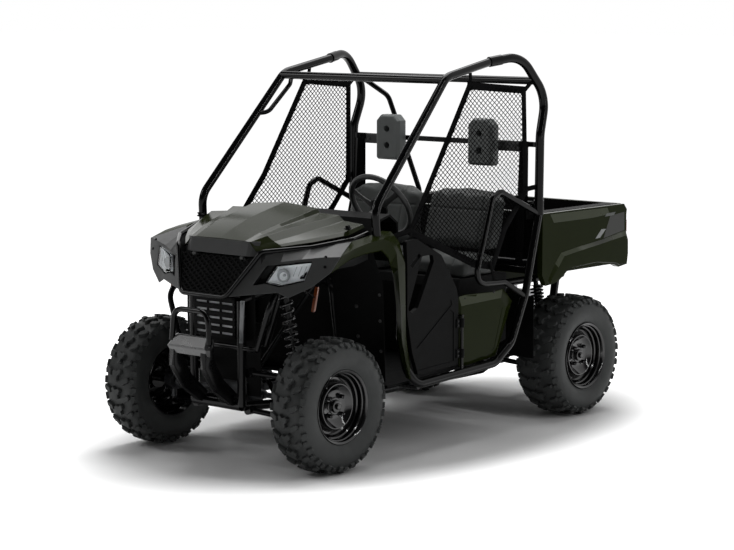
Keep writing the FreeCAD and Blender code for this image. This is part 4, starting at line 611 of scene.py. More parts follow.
# Rows of inset from the tyre's inner face and radius, then the step down to the disc
rim_back = [(0.02, 0.156), (0.013, 0.164), (0.013, 0.167), (0.017, 0.167), (0.022, 0.16), (0.034, 0.15)]
rim_step = [(0.1, 0.144), (0.089, 0.14), (0.089, 0.128)]
hub_profile = [(0.07, 0.0), (0.07, 0.048), (0.08, 0.048), (0.08, 0.017)]
# Each prism: radius, height, sides, dome
nut_prisms = [(0.0145, 0.004, 20, 0.0), (0.0108, 0.022, 6, 0.006), (0.005, 0.027, 12, 0.002)]
stem_prism = (0.0045, 0.028, 12, 0.003)


def lathe(build, profile, centre, side, turns):
    """Rows of (inset, radius) turned about the wheel's axle; inset runs inboard from the centre's face."""
    rings = []
    for turn in range(turns):
        angle = 2 * math.pi * turn / turns
        rings.append([centre + Vector((-side * inset, r * math.cos(angle), r * math.sin(angle)))
                      for inset, r in profile])
    build.loft(rings, closed=False, loop=True)


def prism(build, centre, axis, radius, height, sides, dome):
    """A bar with flat sides along an axis, its far end domed."""
    steps = [(0.0, 1.0), (height - dome, 1.0)]
    if dome:
        steps += [(height - dome * 0.4, 0.86), (height, 0.52)]
    build.loft([disc_ring(centre + axis * rise, radius * share, axis, sides) for rise, share in steps])


def make_rim(end, side):
    width = TYRE_WIDTHS[end]
    face = Vector((side * (TRACK_HALF_OUT - TYRE_GAP), AXLES[end], AXLE_Z))
    reach = abs(face.x) - AXLE_END_X[end]
    out = Vector((side, 0, 0))
    build = Build()
    lathe(build, rim_profile, face, side, RIM_TURNS)
    lathe(build, [(width - inset, r) for inset, r in rim_back] + rim_step, face, side, RIM_TURNS)
    lathe(build, hub_profile + [(reach, 0.017), (reach, 0.0)], face, side, RIM_TURNS // 2)
    for i in range(NUTS):
        angle = 2 * math.pi * (i + 0.5) / NUTS
        for sizes in nut_prisms:
            prism(build, spun(Vector((-side * NUT_INSET, NUT_CIRCLE_R)), angle, face), out, *sizes)
    prism(build, spun(Vector((-side * STEM_INSET, STEM_CIRCLE_R)), STEM_ANGLE, face), out, *stem_prism)
    place = end + "_" + SIDE_NAMES[side]
    build.make("rim_" + place + "_piece", "rim_black", "wheel_" + place, replaces=["rim_" + place], angle=28)


for side in SIDE_NAMES:
    for end in AXLES:
        make_rim(end, side)


# Side nets: crossed cords inside webbing edges, with straps to the frame
net_outline_shares = [(0.872, 0.041, 0.927), (0.938, 0.228, 0.911), (0.953, 0.232, 0.65), (0.945, 0.15, 0.56),
                      (0.925, 0.11, 0.467), (0.92, 0.04, 0.48), (0.905, -0.194, 0.578), (0.875, -0.12, 0.677)]
net_strap_shares = [((0.872, 0.043, 0.925), (0.85, 0.047, 0.978)),
                    ((0.938, 0.227, 0.909), (0.945, 0.272, 0.944)),
                    ((0.95, 0.231, 0.652), (1.0, 0.281, 0.66)), ((0.924, 0.105, 0.47), (0.985, 0.1, 0.414)),
                    ((0.903, -0.19, 0.58), (0.912, -0.285, 0.568))]
NET_WEB = 0.036
NET_STRAP = 0.025
NET_WEB_T = 0.0034
NET_CORD_R = 0.0023
NET_CELL_Y = 0.03
NET_CELL_Z = 0.025
NET_STEPS = 5
NET_CORDS = 45
SHORTEST_CORD = 0.01
NEARNESS = 0.004


def ribbon(build, start, end, steps, width):
    """A flat strap between two places, with its flat side across X."""
    half, thin = width / 2, NET_WEB_T / 2
    edge = half - thin
    across = (end - start).cross(ALONG).normalized()
    normal = across.cross(end - start).normalized()
    section = [across * a + normal * b for a, b in
               ((-half, 0), (-edge, thin), (edge, thin), (half, 0), (edge, -thin), (-edge, -thin))]
    build.loft([[start + (end - start) * (i / steps) + p for p in section] for i in range(steps + 1)])


def outline_x(outline, y, z):
    """The net's x at a place, drawn from its corners by nearness."""
    weights = [1.0 / ((p.y - y) ** 2 + (p.z - z) ** 2 + NEARNESS) for p in outline]
    return sum(p.x * w for p, w in zip(outline, weights)) / sum(weights)


def crossings(outline, y, z, run_y, run_z):
    """Where a line through (y, z) crosses the outline, as distances along the line."""
    found = []
    for a, b in zip(outline, outline[1:] + outline[:1]):
        ey, ez = b.y - a.y, b.z - a.z
        det = run_y * -ez + ey * run_z
        if abs(det) < 1e-9:
            continue
        if 0.0 <= (run_y * (a.z - z) - run_z * (a.y - y)) / det < 1.0:
            found.append(((a.y - y) * -ez + ey * (a.z - z)) / det)
    return sorted(found)


def net_cords(build, outline):
    length = math.hypot(NET_CELL_Y, NET_CELL_Z)
    gap = NET_CELL_Y * NET_CELL_Z / length
    middle_y, middle_z = (sum(p[axis] for p in outline) / len(outline) for axis in (1, 2))
    r = NET_CORD_R
    for lean in (1, -1):
        run_y, run_z = NET_CELL_Y / length, lean * NET_CELL_Z / length
        for i in range(-NET_CORDS, NET_CORDS + 1):
            y, z = middle_y - run_z * gap * i, middle_z + run_y * gap * i
            cuts = crossings(outline, y, z, run_y, run_z)
            for start, end in zip(cuts[::2], cuts[1::2]):
                if end - start < SHORTEST_CORD:
                    continue
                rings = []
                for step in range(NET_STEPS + 1):
                    along = start + (end - start) * step / NET_STEPS
                    py, pz = y + run_y * along, z + run_z * along
                    px = outline_x(outline, py, pz) + lean * r * 0.4
                    rings.append([Vector((px + r, py, pz)), Vector((px, py - run_z * r, pz + run_y * r)),
                                  Vector((px - r, py, pz)), Vector((px, py + run_z * r, pz - run_y * r))])
                build.loft(rings)


def inset_outline(outline, depth):
    """The outline moved inward in its own plane."""
    made = []
    for a, b, c in zip(outline[-1:] + outline, outline, outline[1:] + outline[:1]):
        first = Vector((0, b.y - a.y, b.z - a.z)).normalized()
        second = Vector((0, c.y - b.y, c.z - b.z)).normalized()
        normal = Vector((0, first.z + second.z, -first.y - second.y)).normalized()
        made.append(b + normal * (depth / max(0.5, normal.y * first.z - normal.z * first.y)))
    return made


def make_net(side):
    outline = [at(*p) for p in net_outline_shares]
    inner = inset_outline(outline, -NET_WEB / 2)
    build = Build()
    net_cords(build, inner)
    for a, b in zip(inner, inner[1:] + inner[:1]):
        past = (b - a).normalized() * NET_WEB * 0.42
        ribbon(build, a - past, b + past, 8, NET_WEB)
    for a, b in net_strap_shares:
        ribbon(build, at(*a), at(*b), 4, NET_STRAP)
    for v in build.verts:
        v.x *= side
    net = build.make("net_" + SIDE_NAMES[side], "net_black", "chassis", angle=50,
                     replaces=("side_nets",) if side > 0 else ())


for side in SIDE_NAMES:
    make_net(side)


# Hood: terraced skin, dark front band, latches and hinge eyes
hood_rows = [
    (-0.584, [(0.0, 0.569), (0.26, 0.568), (0.285, 0.567), (0.31, 0.566), (0.34, 0.555), (0.36, 0.549),
              (0.374, 0.545)]),
    (-0.54, [(0.0, 0.59), (0.28, 0.585), (0.315, 0.582), (0.36, 0.58), (0.43, 0.567), (0.48, 0.561),
             (0.508, 0.556)]),
    (-0.48, [(0.0, 0.612), (0.31, 0.603), (0.335, 0.597), (0.42, 0.595), (0.5, 0.58), (0.61, 0.572),
             (0.665, 0.566)]),
    (-0.4, [(0.0, 0.632), (0.33, 0.622), (0.355, 0.613), (0.5, 0.61), (0.56, 0.596), (0.76, 0.588),
            (0.795, 0.58)]),
    (-0.352, [(0.0, 0.643), (0.34, 0.634), (0.365, 0.623), (0.56, 0.621), (0.61, 0.608), (0.8, 0.603),
              (0.815, 0.595)]),
    (-0.35, [(0.0, 0.641), (0.34, 0.632), (0.365, 0.621), (0.56, 0.619), (0.61, 0.606), (0.8, 0.601),
             (0.815, 0.593)])]
HOOD_T = 0.0045
BAND_T = 0.0042
BAND_TURN = 0.32
BAND_SWEEP = 0.3
band_rows = [(-0.592, 0.531, (0.0, 0.24, 0.29, 0.33, 0.366)),
             (-0.5885, 0.549, (0.0, 0.245, 0.298, 0.338, 0.372)),
             (-0.5845, 0.5675, (0.0, 0.25, 0.3, 0.345, 0.376))]
HOOD_LUG_X = 0.15
HOOD_LUG_HALF = 0.01
hood_pivot = at(0.0, -0.5895, 0.5255)
eye_profile = [(0, 0.00828), (0.001, 0.009), (0.019, 0.009), (0.02, 0.00828)]
LATCH_PLACE = (0.467, -0.738, 1.068)
LATCH_LEAN = (0.1, -0.22, 1)
latch_profile = [(-0.004, 0.004), (0.004, 0.017), (0.0065, 0.01615), (0.0065, 0.01054), (0.013, 0.00884),
                 (0.0145, 0.0068), (0.0145, 0.0001)]
latch_wing = [(-0.003, -0.013), (0.003, -0.013), (0.003, 0.013), (-0.003, 0.013)]
WING_FOOT = 0.012
WING_RISE = 0.007


def mirror_row(points):
    """A row from the far side to the near side, from its points with x of zero or more."""
    return mirrored_points(points[:0:-1]) + points


def panel(name, rows, slot, body, thick, offset=-1, **more):
    """A grid of points as a panel with thickness."""
    count = len(rows[0])
    faces = [(r * count + i, r * count + i + 1, (r + 1) * count + i + 1, (r + 1) * count + i)
             for r in range(len(rows) - 1) for i in range(count - 1)]
    return walled(piece(name, [p for row in rows for p in row], faces, slot, body, **more), thick, offset)


def make_hood():
    rows = [mirror_row([at(x, y, z) for x, z in line]) for y, line in hood_rows]
    rounded(panel("hood_skin", rows, "green_panel", "hood", HOOD_T, replaces=("hood",), look="green_hood"),
            0.0045, 3, 7)
    band = [mirror_row([at(x, y + BAND_SWEEP * max(0.0, x - BAND_TURN), z) for x in xs]) for y, z,
            xs in band_rows]
    rounded(panel("hood_band", band, "grey_plastic", "hood", BAND_T), 0.002, 3, 7)


def hood_hinges():
    """The two eyes below the band."""
    build = Build()
    for side in WAYS:
        turned_solid(build, hood_pivot + ALONG * (side * HOOD_LUG_X - HOOD_LUG_HALF), ALONG, eye_profile)
    build.make("hood_hinge_eyes", "grey_plastic", "hood")


def hood_latches():
    """A turning fastener near each rear corner: a dished washer and a winged knob."""
    build = Build()
    for side in WAYS:
        (x, y, z), (lean_x, lean_y, lean_z) = LATCH_PLACE, LATCH_LEAN
        place = Vector((side * x, y, z))
        up = Vector((side * lean_x, lean_y, lean_z)).normalized()
        turned_solid(build, place, up, latch_profile)
        wing = [place + up * WING_FOOT + Vector((dx, dy, 0)) for dx, dy in latch_wing]
        build.loft([wing, [p + up * WING_RISE for p in wing]])
    build.make("hood_latches", "black_plastic", "hood")


make_hood()
hood_hinges()
hood_latches()


# Nose: dark wings with lamp openings, the bead, the diamond grille, and dark sheets of painted shade behind
# it
wing_rows = [[(0.25, -0.64, 0.434), (0.355, -0.607, 0.492), (0.445, -0.585, 0.54)],
             [(0.6, -0.589, 0.449), (0.58, -0.57, 0.522), (0.56, -0.548, 0.548)],
             [(0.68, -0.58, 0.437), (0.72, -0.545, 0.53), (0.7, -0.505, 0.553)],
             [(0.833, -0.553, 0.464), (0.87, -0.527, 0.537), (0.78, -0.45, 0.56)],
             [(0.953, -0.525, 0.502), (1.0, -0.508, 0.54), (0.87, -0.42, 0.567)]]
lamp_outline = [(0.5, 0.472), (0.605, 0.465), (0.768, 0.48), (0.797, 0.524), (0.555, 0.512)]
opening_outline = [(0.408, 0.463), (0.5, 0.469), (0.605, 0.462), (0.774, 0.4775), (0.803, 0.5265),
                   (0.545, 0.515), (0.48, 0.512)]
bead_points = [(0.85, -0.352, 0.582), (0.833, -0.397, 0.57), (0.695, -0.5, 0.555), (0.437, -0.588, 0.545),
               (0.235, -0.645, 0.432)]
frame_points = [(0.333, -0.5865, 0.522), (0.319125, -0.595, 0.508), (0.222, -0.6435, 0.4405)]
FRAME_SINK = 0.0074
FRAME_BEND = 0.03
FRAME_R = 0.0045
WING_T = 0.004
WING_EDGE = 0.0035
CUT_FROM_Y = -1.35
CUT_DEPTH = 0.5
BEAD_R = 0.0105
BEAD_BEND = 0.045
# Lamp parts: steps of growth about the outline's middle and depth behind the wing's face
pocket_lip = (0.0015, 0.0035)
POCKET_SHRINK = -0.004
POCKET_PUSH = Vector((-0.004, 0.03, 0))
POCKET_T = 0.0015
lens_steps = [(-0.0012, 0.016), (-0.0012, 0.002), (-0.0045, 0.0002), (-0.022, -0.0012)]
LENS_T = 0.003
bowl_steps = [(-0.006, 0.01), (-0.009, 0.014), (-0.011, 0.024), (-0.018, 0.026), (-0.021, 0.03)]
BOWL_T = 0.0012
BOWL_EDGE = 0.0015
# The round low beam: its middle in shares, its way, and profiles of depth and radius
ROUND_X, ROUND_Z = 0.6, 0.489
ROUND_SINK = 0.012
ROUND_WAY = Vector((-0.12, 1, 0.02)).normalized()
ROUND_T = 0.0008
bowl_profile = [(0.0, 0.027), (0.004, 0.0262), (0.012, 0.0225), (0.02, 0.015), (0.024, 0.006)]
lip_profile = [(0.0, 0.027), (-0.001, 0.0282), (0.0, 0.0294), (0.016, 0.0294)]
bulb_profile = [(0.008, 0.0001), (0.0085, 0.005), (0.012, 0.0062), (0.021, 0.0062)]
rib_shares = (0.67, 0.705, 0.74)
RIB_LEAN, RIB_LOW, RIB_TOP = 0.014, 0.488, 0.512
RIB_SINK = 0.016
RIB_R = 0.0018


def wing_face(x, z):
    """The depth y of the wing's outer face at a place seen from the front."""
    found = []
    for one, two in zip(wing_rows, wing_rows[1:]):
        for i in range(2):
            first, last = at(*one[i]), at(*two[i + 1])
            for a, b, c in ((first, at(*one[i + 1]), last), (first, last, at(*two[i]))):
                det = (b.z - c.z) * (a.x - c.x) + (c.x - b.x) * (a.z - c.z)
                u = ((b.z - c.z) * (x - c.x) + (c.x - b.x) * (z - c.z)) / det
                v = ((c.z - a.z) * (x - c.x) + (a.x - c.x) * (z - c.z)) / det
                found.append((min(u, v, 1 - u - v), u * a.y + v * b.y + (1 - u - v) * c.y))
    return max(found)[1]


def wing_ring(shares, grow=0.0, sink=0.0):
    """Points of an outline on the wing's face, grown about its middle and sunk behind the face."""
    places = [(x * BODY_HALF, z * CAGE_TOP) for x, z in shares]
    mx, mz = (sum(values) / len(places) for values in zip(*places))
    ring = []
    for x, z in places:
        away = Vector((x - mx, z - mz)).normalized() * grow
        px, pz = x + away.x, z + away.y
        ring.append(Vector((px, wing_face(px, pz) + sink, pz)))
    return ring


def on_wing(x, z, sink):
    return Vector((x * BODY_HALF, wing_face(x * BODY_HALF, z * CAGE_TOP) + sink, z * CAGE_TOP))


def wing_piece():
    obj = panel("nose_wing_left", [[at(*p) for p in line] for line in wing_rows], "grey_plastic", "chassis",
                WING_T,
                replaces=("nose_fascia",), look="wing_grey")
    cut_away(obj, [Vector((x * BODY_HALF, CUT_FROM_Y, z * CAGE_TOP)) for x, z in opening_outline],
             AHEAD * CUT_DEPTH)
    return rounded(obj, WING_EDGE, 3, 12)


def lamp_shell(name, rings, slot, thick, offset, **more):
    """A thin shell through rings, closed at the last one."""
    build = Build()
    build.loft(rings, lid=True)
    return walled(build.make(name, slot, "chassis", **more), thick, offset)


def lamp_shells():
    """The dark pocket behind the opening, the clear lens and the stepped reflector, whose brightness is a
    painted reflection in a flat light grey.
    """
    foot = [p + POCKET_PUSH for p in wing_ring(opening_outline, POCKET_SHRINK)]
    pocket = lamp_shell("lamp_pocket_left", [wing_ring(opening_outline, *pocket_lip), foot], "black_plastic",
                        POCKET_T, 1, angle=20)
    lens = lamp_shell("lamp_lens_left", [wing_ring(lamp_outline, *step) for step in lens_steps], "lamp_clear",
                      LENS_T, -1, look="lens", angle=30, replaces=("headlamps",))
    bowl = lamp_shell("lamp_bowl_left", [wing_ring(lamp_outline, *step) for step in bowl_steps], "lamp_clear",
                      BOWL_T, 1, look="lamp_painted_reflection", angle=25)
    return pocket, lens, rounded(bowl, BOWL_EDGE, 2, 20)


def lamp_inside():
    """The round bowl with its bulb shield, and ribs across the outer end, in a flat mid grey that stands in
    for chrome: a dimmer painted reflection.
    """
    bowl, trim = Build(), Build()
    centre = on_wing(ROUND_X, ROUND_Z, ROUND_SINK)
    for profile in (bowl_profile, lip_profile):
        bowl.loft([disc_ring(centre + ROUND_WAY * a, r, ROUND_WAY, 32) for a, r in profile], caps=False)
    turned_solid(trim, centre, ROUND_WAY, bulb_profile, 20)
    for share in rib_shares:
        pipe(trim, [on_wing(share, RIB_LOW, RIB_SINK), on_wing(share + RIB_LEAN, RIB_TOP, RIB_SINK)], RIB_R,
             8)
    return (walled(bowl.make("lamp_round_left", "lamp_clear", "chassis", look="lamp_painted_dim_reflection", angle=50),
                   ROUND_T, 0),
            trim.make("lamp_trim_left", "lamp_clear", "chassis", look="lamp_painted_dim_reflection"))


def across(points):
    """A line of points that goes on over the other side of the vehicle."""
    return points + mirrored_points(reversed(points))


def bead_piece():
    bead, inner = Build(), Build()
    pipe(bead, bent_path(across([at(*p) for p in bead_points]), BEAD_BEND, 8), BEAD_R, 20)
    bead.make("nose_bead", "tube_black", "chassis")
    line = [at(*p) + AHEAD * FRAME_SINK for p in frame_points]
    pipe(inner, bent_path(across(line), FRAME_BEND), FRAME_R, 12)
    inner.make("grille_frame", "black_plastic", "chassis")


grille_corners = [(0.36, -0.588, 0.525), (0.235, -0.645, 0.432)]
# Corners of the dark plate behind the grille and of its shroud: painted shade that closes the view into the
# nose
grille_shade_back_places = [(-0.228, -1.17, 0.786), (0.228, -1.17, 0.786), (0.395, -1.06, 0.972),
                      (0.29, -1.052, 0.992), (-0.29, -1.052, 0.992), (-0.395, -1.06, 0.972)]
GRILLE_SHADE_BACK_T = 0.003
GRILLE_TOP_HALF = 0.24
GRILLE_MARGIN = 0.004
GRILLE_SHADE_SHROUD_Y = -1.0
shade_shroud_places = [(0.245, -1.09, 0.968), (0.241, -1.099, 0.945), (0.144, -1.195, 0.7776)]
# Depth and thickness of the dark sheets beside the engine: painted shade
SHADE_SHEET_DEPTH = 0.12
SHADE_SHEET_T = 0.002
CELL_W = 0.04
CELL_H = 0.025
STRANDS = 20
STRAND_STEPS = 60
STRAND_W = 0.0052
# Each corner of a strand's section: share of its half width and height over the opening's plane
strand_section = [(-1, 0.0), (-0.35, 0.0055), (0.35, 0.0055), (1, 0.0), (0, -0.001)]


def grille_piece():
    """A lattice of peaked strands over the sloping opening, on a dark plate; the plate and a dark shroud
    close the view into the nose as painted shade.
    """
    high, low = (at(*p) for p in grille_corners)
    low_half = low.x
    high.x = low.x = 0
    height = (high - low).length
    up = (high - low).normalized()
    out = ALONG.cross(up)
    build = Build()
    for way in WAYS:
        slope = Vector((way * CELL_W, CELL_H)).normalized()
        for k in range(-STRANDS, STRANDS):
            inside = []
            for step in range(STRAND_STEPS + 1):
                v = height * step / STRAND_STEPS
                u = k * CELL_W + way * v * CELL_W / CELL_H
                if abs(u) <= low_half + (GRILLE_TOP_HALF - low_half) * v / height - GRILLE_MARGIN:
                    inside.append(low + ALONG * u + up * v)
            spread = (ALONG * -slope.y + up * slope.x) * STRAND_W
            if len(inside) > 1:
                build.loft([[base + spread * share + out * lift for share, lift in strand_section]
                            for base in (inside[0], inside[-1])])
    build.make("grille_lattice", "black_plastic", "chassis", angle=25)
    back = Build()
    side = [Vector(p) for p in shade_shroud_places]
    front = mirrored_points(side) + side[::-1]
    back.loft([front, [Vector((p.x, GRILLE_SHADE_SHROUD_Y, p.z)) for p in front]], closed=False, caps=False)
    back.add(*pushed([Vector((x * BODY_HALF, y, z)) for x, y, z in grille_shade_back_places],
                     AHEAD * GRILLE_SHADE_BACK_T))
    back.make("grille_shade_back", "soft_black", "chassis", angle=20)


def hood_shade_sheets():
    """Dark inner sheets that hang below the bead and close the space beside the engine: painted shade."""
    top = [at(*p) for p in bead_points[:4]]
    mirror_piece(panel("hood_well_left", [top, [p - UP * SHADE_SHEET_DEPTH for p in top]], "soft_black", "chassis",
                       SHADE_SHEET_T, 0))


clip_places = [(0.895, 0.538), (0.905, 0.515), (0.5, 0.528)]
CLIP_SINK = -0.0002
clip_profile = [(-0.002, 0.0068), (0.0012, 0.0068), (0.002, 0.0055), (0.002, 0.004), (0.001, 0.0036),
                (0.001, 0.0001)]
CLIP_LEAN = (0.25, -1, 0.3)


def wing_clips():
    """Push clips on the wings' outer ends."""
    build = Build()
    for side in WAYS:
        for x, z in clip_places:
            place = on_wing(x, z, CLIP_SINK)
            place.x *= side
            turned_solid(build, place, (side * CLIP_LEAN[0], *CLIP_LEAN[1:]), clip_profile, 20)
    build.make("wing_clips", "black_plastic", "chassis")


for made in (wing_piece(), *lamp_shells(), *lamp_inside()):
    mirror_piece(made)
bead_piece()
grille_piece()
hood_shade_sheets()
wing_clips()


# Two stays each side of the hood's eyes and the pins through them
PIN_HALF = 0.018
pin_profile = [(0, 0.0036), (0.001, 0.0039), (0.035, 0.0039), (0.036, 0.0036)]
STAY_FOOT_Z = 0.936
STAY_HALF = 0.0038
STAY_W = 0.0058
stay_insets = (0.0104, -0.0162)
STAY_EDGE = 0.0008


def hood_pin_stays():
    build = Build()
    for side in WAYS:
        centre = hood_pivot + ALONG * side * HOOD_LUG_X
        turned_solid(build, centre - ALONG * PIN_HALF, ALONG, pin_profile, 16)
        for near in stay_insets:
            low = Vector((centre.x + near, centre.y - STAY_HALF, STAY_FOOT_Z))
            box_shape(build, low, (low.x + STAY_W, centre.y + STAY_HALF, centre.z + STAY_HALF), STAY_EDGE)
    build.make("hood_pin_stays", "frame_black", "chassis")


hood_pin_stays()


# Side panels below the seats: a raised face with sloped ledges, a foot slot and a handle line
panel_outer = [(-0.042, 0.386), (-0.013, 0.3935), (0.11, 0.389), (0.147, 0.393), (0.186, 0.356),
               (0.118, 0.215),
               (-0.005, 0.205), (-0.036, 0.205)]
panel_inner = [(-0.0345, 0.364), (-0.013, 0.3655), (0.11, 0.3685), (0.133, 0.369), (0.154, 0.343),
               (0.11, 0.226),
               (-0.004, 0.215), (-0.0345, 0.215)]
foot_slot = [(0.028, 0.2215), (0.095, 0.2245), (0.114, 0.215), (0.1, 0.215), (0.09, 0.2185)]
handle_facet = [(0.118, 0.352), (0.1395, 0.343), (0.104, 0.236), (0.088, 0.2315)]
PANEL_BACK_X, PANEL_RIM_X, PANEL_FACE_X = 0.5702, 0.5746, 0.5838
panel_cuts = [(foot_slot, 0.5783), (handle_facet, 0.5822)]
PANEL_CUT_OUT = 0.02
PANEL_EDGE = 0.0024
# Painted highlight facets: rings of y share, z share and x on sloped ledges of the side panel and of the
# bed's sides
FACET_T = 0.0005
panel_ledge = [[(-0.039, 0.3905, 0.5752), (-0.013, 0.392, 0.5752), (0.11, 0.388, 0.5752),
                (0.144, 0.3915, 0.5752), (0.132, 0.37, 0.5836), (0.11, 0.3697, 0.5836),
                (-0.013, 0.3668, 0.5836), (-0.0335, 0.3655, 0.5836)]]
bed_strip = [[(0.334, 0.579, 0.5992), (0.35, 0.5545, 0.6003), (0.525, 0.5545, 0.6003), (0.61, 0.5588, 0.6003),
              (0.6, 0.578, 0.5992)]]
flare_line = [((0.357, 0.442, 0.6004), (0.368, 0.43, 0.6072)),
              ((0.384, 0.469, 0.6004), (0.394, 0.459, 0.6072)),
              ((0.448, 0.477, 0.6004), (0.459, 0.467, 0.6072)),
              ((0.572, 0.489, 0.6004), (0.573, 0.479, 0.6072)),
              ((0.688, 0.506, 0.6004), (0.686, 0.492, 0.6072))]
flare_top = [[a, b, d, c] for (a, c), (b, d) in zip(flare_line, flare_line[1:])]


def side_ring(shares, x):
    return [Vector((x, WHEELBASE * y, CAGE_TOP * z)) for y, z in shares]


def side_panel():
    build = Build()
    build.loft([side_ring(panel_outer, PANEL_BACK_X), side_ring(panel_outer, PANEL_RIM_X),
                side_ring(panel_inner, PANEL_FACE_X)])
    obj = build.make("side_panel_left", "green_panel", "chassis", angle=10, replaces=("side_panels",))
    for outline, x in panel_cuts:
        cut_away(obj, side_ring(outline, x), ALONG * PANEL_CUT_OUT)
    mirror_piece(rounded(obj, PANEL_EDGE, 3, 8))


def facets(name, rings, body):
    """Thin sheets of lighter green laid over sloped facets, on both sides: a painted highlight."""
    build = Build()
    for ring in rings:
        build.add(*pushed([Vector((x, WHEELBASE * y, CAGE_TOP * z)) for y, z, x in ring], ALONG * FACET_T))
    mirror_piece(build.make(name + "_left", "green_panel", body, look="green_painted_highlight", angle=10))


side_panel()
facets("panel_ledge", panel_ledge, "chassis")
facets("bed_strip", bed_strip, "bed")
facets("bed_flare", flare_top, "bed")


# Boxes of the bed's liner and of the tailgate's: low corner, high corner and chamfer
LINER_X = 0.4996
liner_boxes = [((-0.4996, 0.6187, 0.7719), (0.4996, 0.6199, 1.0496), 0),
               ((-0.4996, 0.6187, 0.7719), (0.4996, 1.24, 0.7731), 0),
               ((-0.565, 0.5868, 0.745), (0.565, 0.588, 1.0436), 0)]
liner_sides = [((0.4984, 0.6187, 0.7719), (0.4996, 1.24, 1.0496)),
               ((0.4996, 0.6187, 1.0496), (0.569, 1.24, 1.0508))]
rib_section = [(-0.02, 0.7729), (-0.014, 0.7789), (0.014, 0.7789), (0.02, 0.7729)]
rib_ends = (0.6387, 1.22)
BED_RIBS = 15
BED_RIB_SHARE = 0.92
gate_box = ((-0.4996, 1.2479, 0.778), (0.4996, 1.2491, 1.0456), 0.0002)
GATE_RIBS = 5
GATE_RIB_SHARE = 0.88
gate_rib = (0.012, 1.2449, 0.8, 1.2479, 1.0196)
GATE_EDGE = 0.0012


def spread_over(count, reach):
    """Places from one side to the other, evenly spaced."""
    return [reach * (2 * i / (count - 1) - 1) for i in range(count)]


def side_box(build, low, high, chamfer=0.0):
    """A block on the left and its mirror image on the right."""
    part = Build()
    box_shape(part, low, high, chamfer)
    build.add_mirrored(part)


def bed_liner():
    """The dark floor with pressed ribs, walls, caps and bulkhead, and the tailgate's liner."""
    build, gate = Build(), Build()
    for low, high in liner_sides:
        side_box(build, low, high)
    for box in liner_boxes:
        box_shape(build, *box)
    for x in spread_over(BED_RIBS, LINER_X * BED_RIB_SHARE):
        build.loft([[Vector((x + dx, y, z)) for dx, z in rib_section] for y in rib_ends])
    build.make("bed_liner", "black_plastic", "bed", angle=25)
    box_shape(gate, *gate_box)
    half, near, low, far, high = gate_rib
    for x in spread_over(GATE_RIBS, LINER_X * GATE_RIB_SHARE):
        box_shape(gate, (x - half, near, low), (x + half, far, high), GATE_EDGE)
    gate.make("gate_liner", "black_plastic", "tailgate", angle=25)


bed_liner()


# Belt guide bars on the rear hoop
bar_box = ((0.352, 0.4965, 1.353), (0.548, 0.5025, 1.3985), 0.002)
bar_bolts = [(0.372, 0.4965, 1.376), (0.47, 0.4965, 1.376)]
BAR_EDGE = 0.0012


def belt_bars():
    build = Build()
    side_box(build, *bar_box)
    for side in WAYS:
        for x, y, z in bar_bolts:
            bolt(build, (side * x, y, z), -AHEAD, 0.0075, 0.005)
    rounded(build.make("belt_bars", "grey_plastic", "chassis", angle=25), BAR_EDGE, 2, 20)


belt_bars()


# Dash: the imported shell, cut lower on the passenger's side where the cowl falls away
dash_cut = [(-0.7, -0.7, 0.99), (-0.3, -0.7, 0.99), (-0.3, -0.38, 0.99), (-0.7, -0.38, 0.99)]
DASH_CUT_UP = 0.2
DASH_EDGE = 0.0025


def dash_shell():
    packed = NODES["dash"]
    shell = piece("dash_shell", [packed.matrix_world @ v.co for v in packed.data.vertices],
                  [tuple(face.vertices) for face in packed.data.polygons], "black_plastic", "chassis",
                  angle=28,
                  replaces=("dash",))
    cut_away(shell, dash_cut, UP * DASH_CUT_UP)
    rounded(shell, DASH_EDGE, 2, 28)


dash_shell()


# Radiator: dark slotted guard over a bright finned core
RAD_HALF = 0.1285
RAD_LOW = 0.58
RAD_TOP = 0.7648
RAD_FRONT = -1.1211
SLOT_COLUMNS = 3
SLOT_ROWS = 5
SLOT_PAD = 0.016
COLUMN_W = 0.013
BAR_LOW, BAR_TOP = 0.0255, 0.0155
COLUMN_BACK, BAR_FRONT, BAR_BACK = -1.1173, -1.1209, -1.1175
SLOT_EDGE = 0.0006
RAD_BOLT = (0.0045, 0.003)
guard_bolts = [(x, RAD_FRONT, z) for x in (-0.112, 0.112) for z in (0.588, 0.7568)]
FIN_FOLDS = 92
FIN_INSET = 0.004
fin_fronts = (-1.1133, -1.1151)
FIN_BACK = -1.0781
TANK_EDGE = 0.004
tank_boxes = [((-0.1285, -1.1166, 0.58), (0.1285, -1.0776, 0.5835)),
              ((-0.1285, -1.1166, 0.7613), (0.1285, -1.0776, 0.7648))]
tank_side = ((0.125, -1.1166, 0.58), (0.1285, -1.0776, 0.7648))


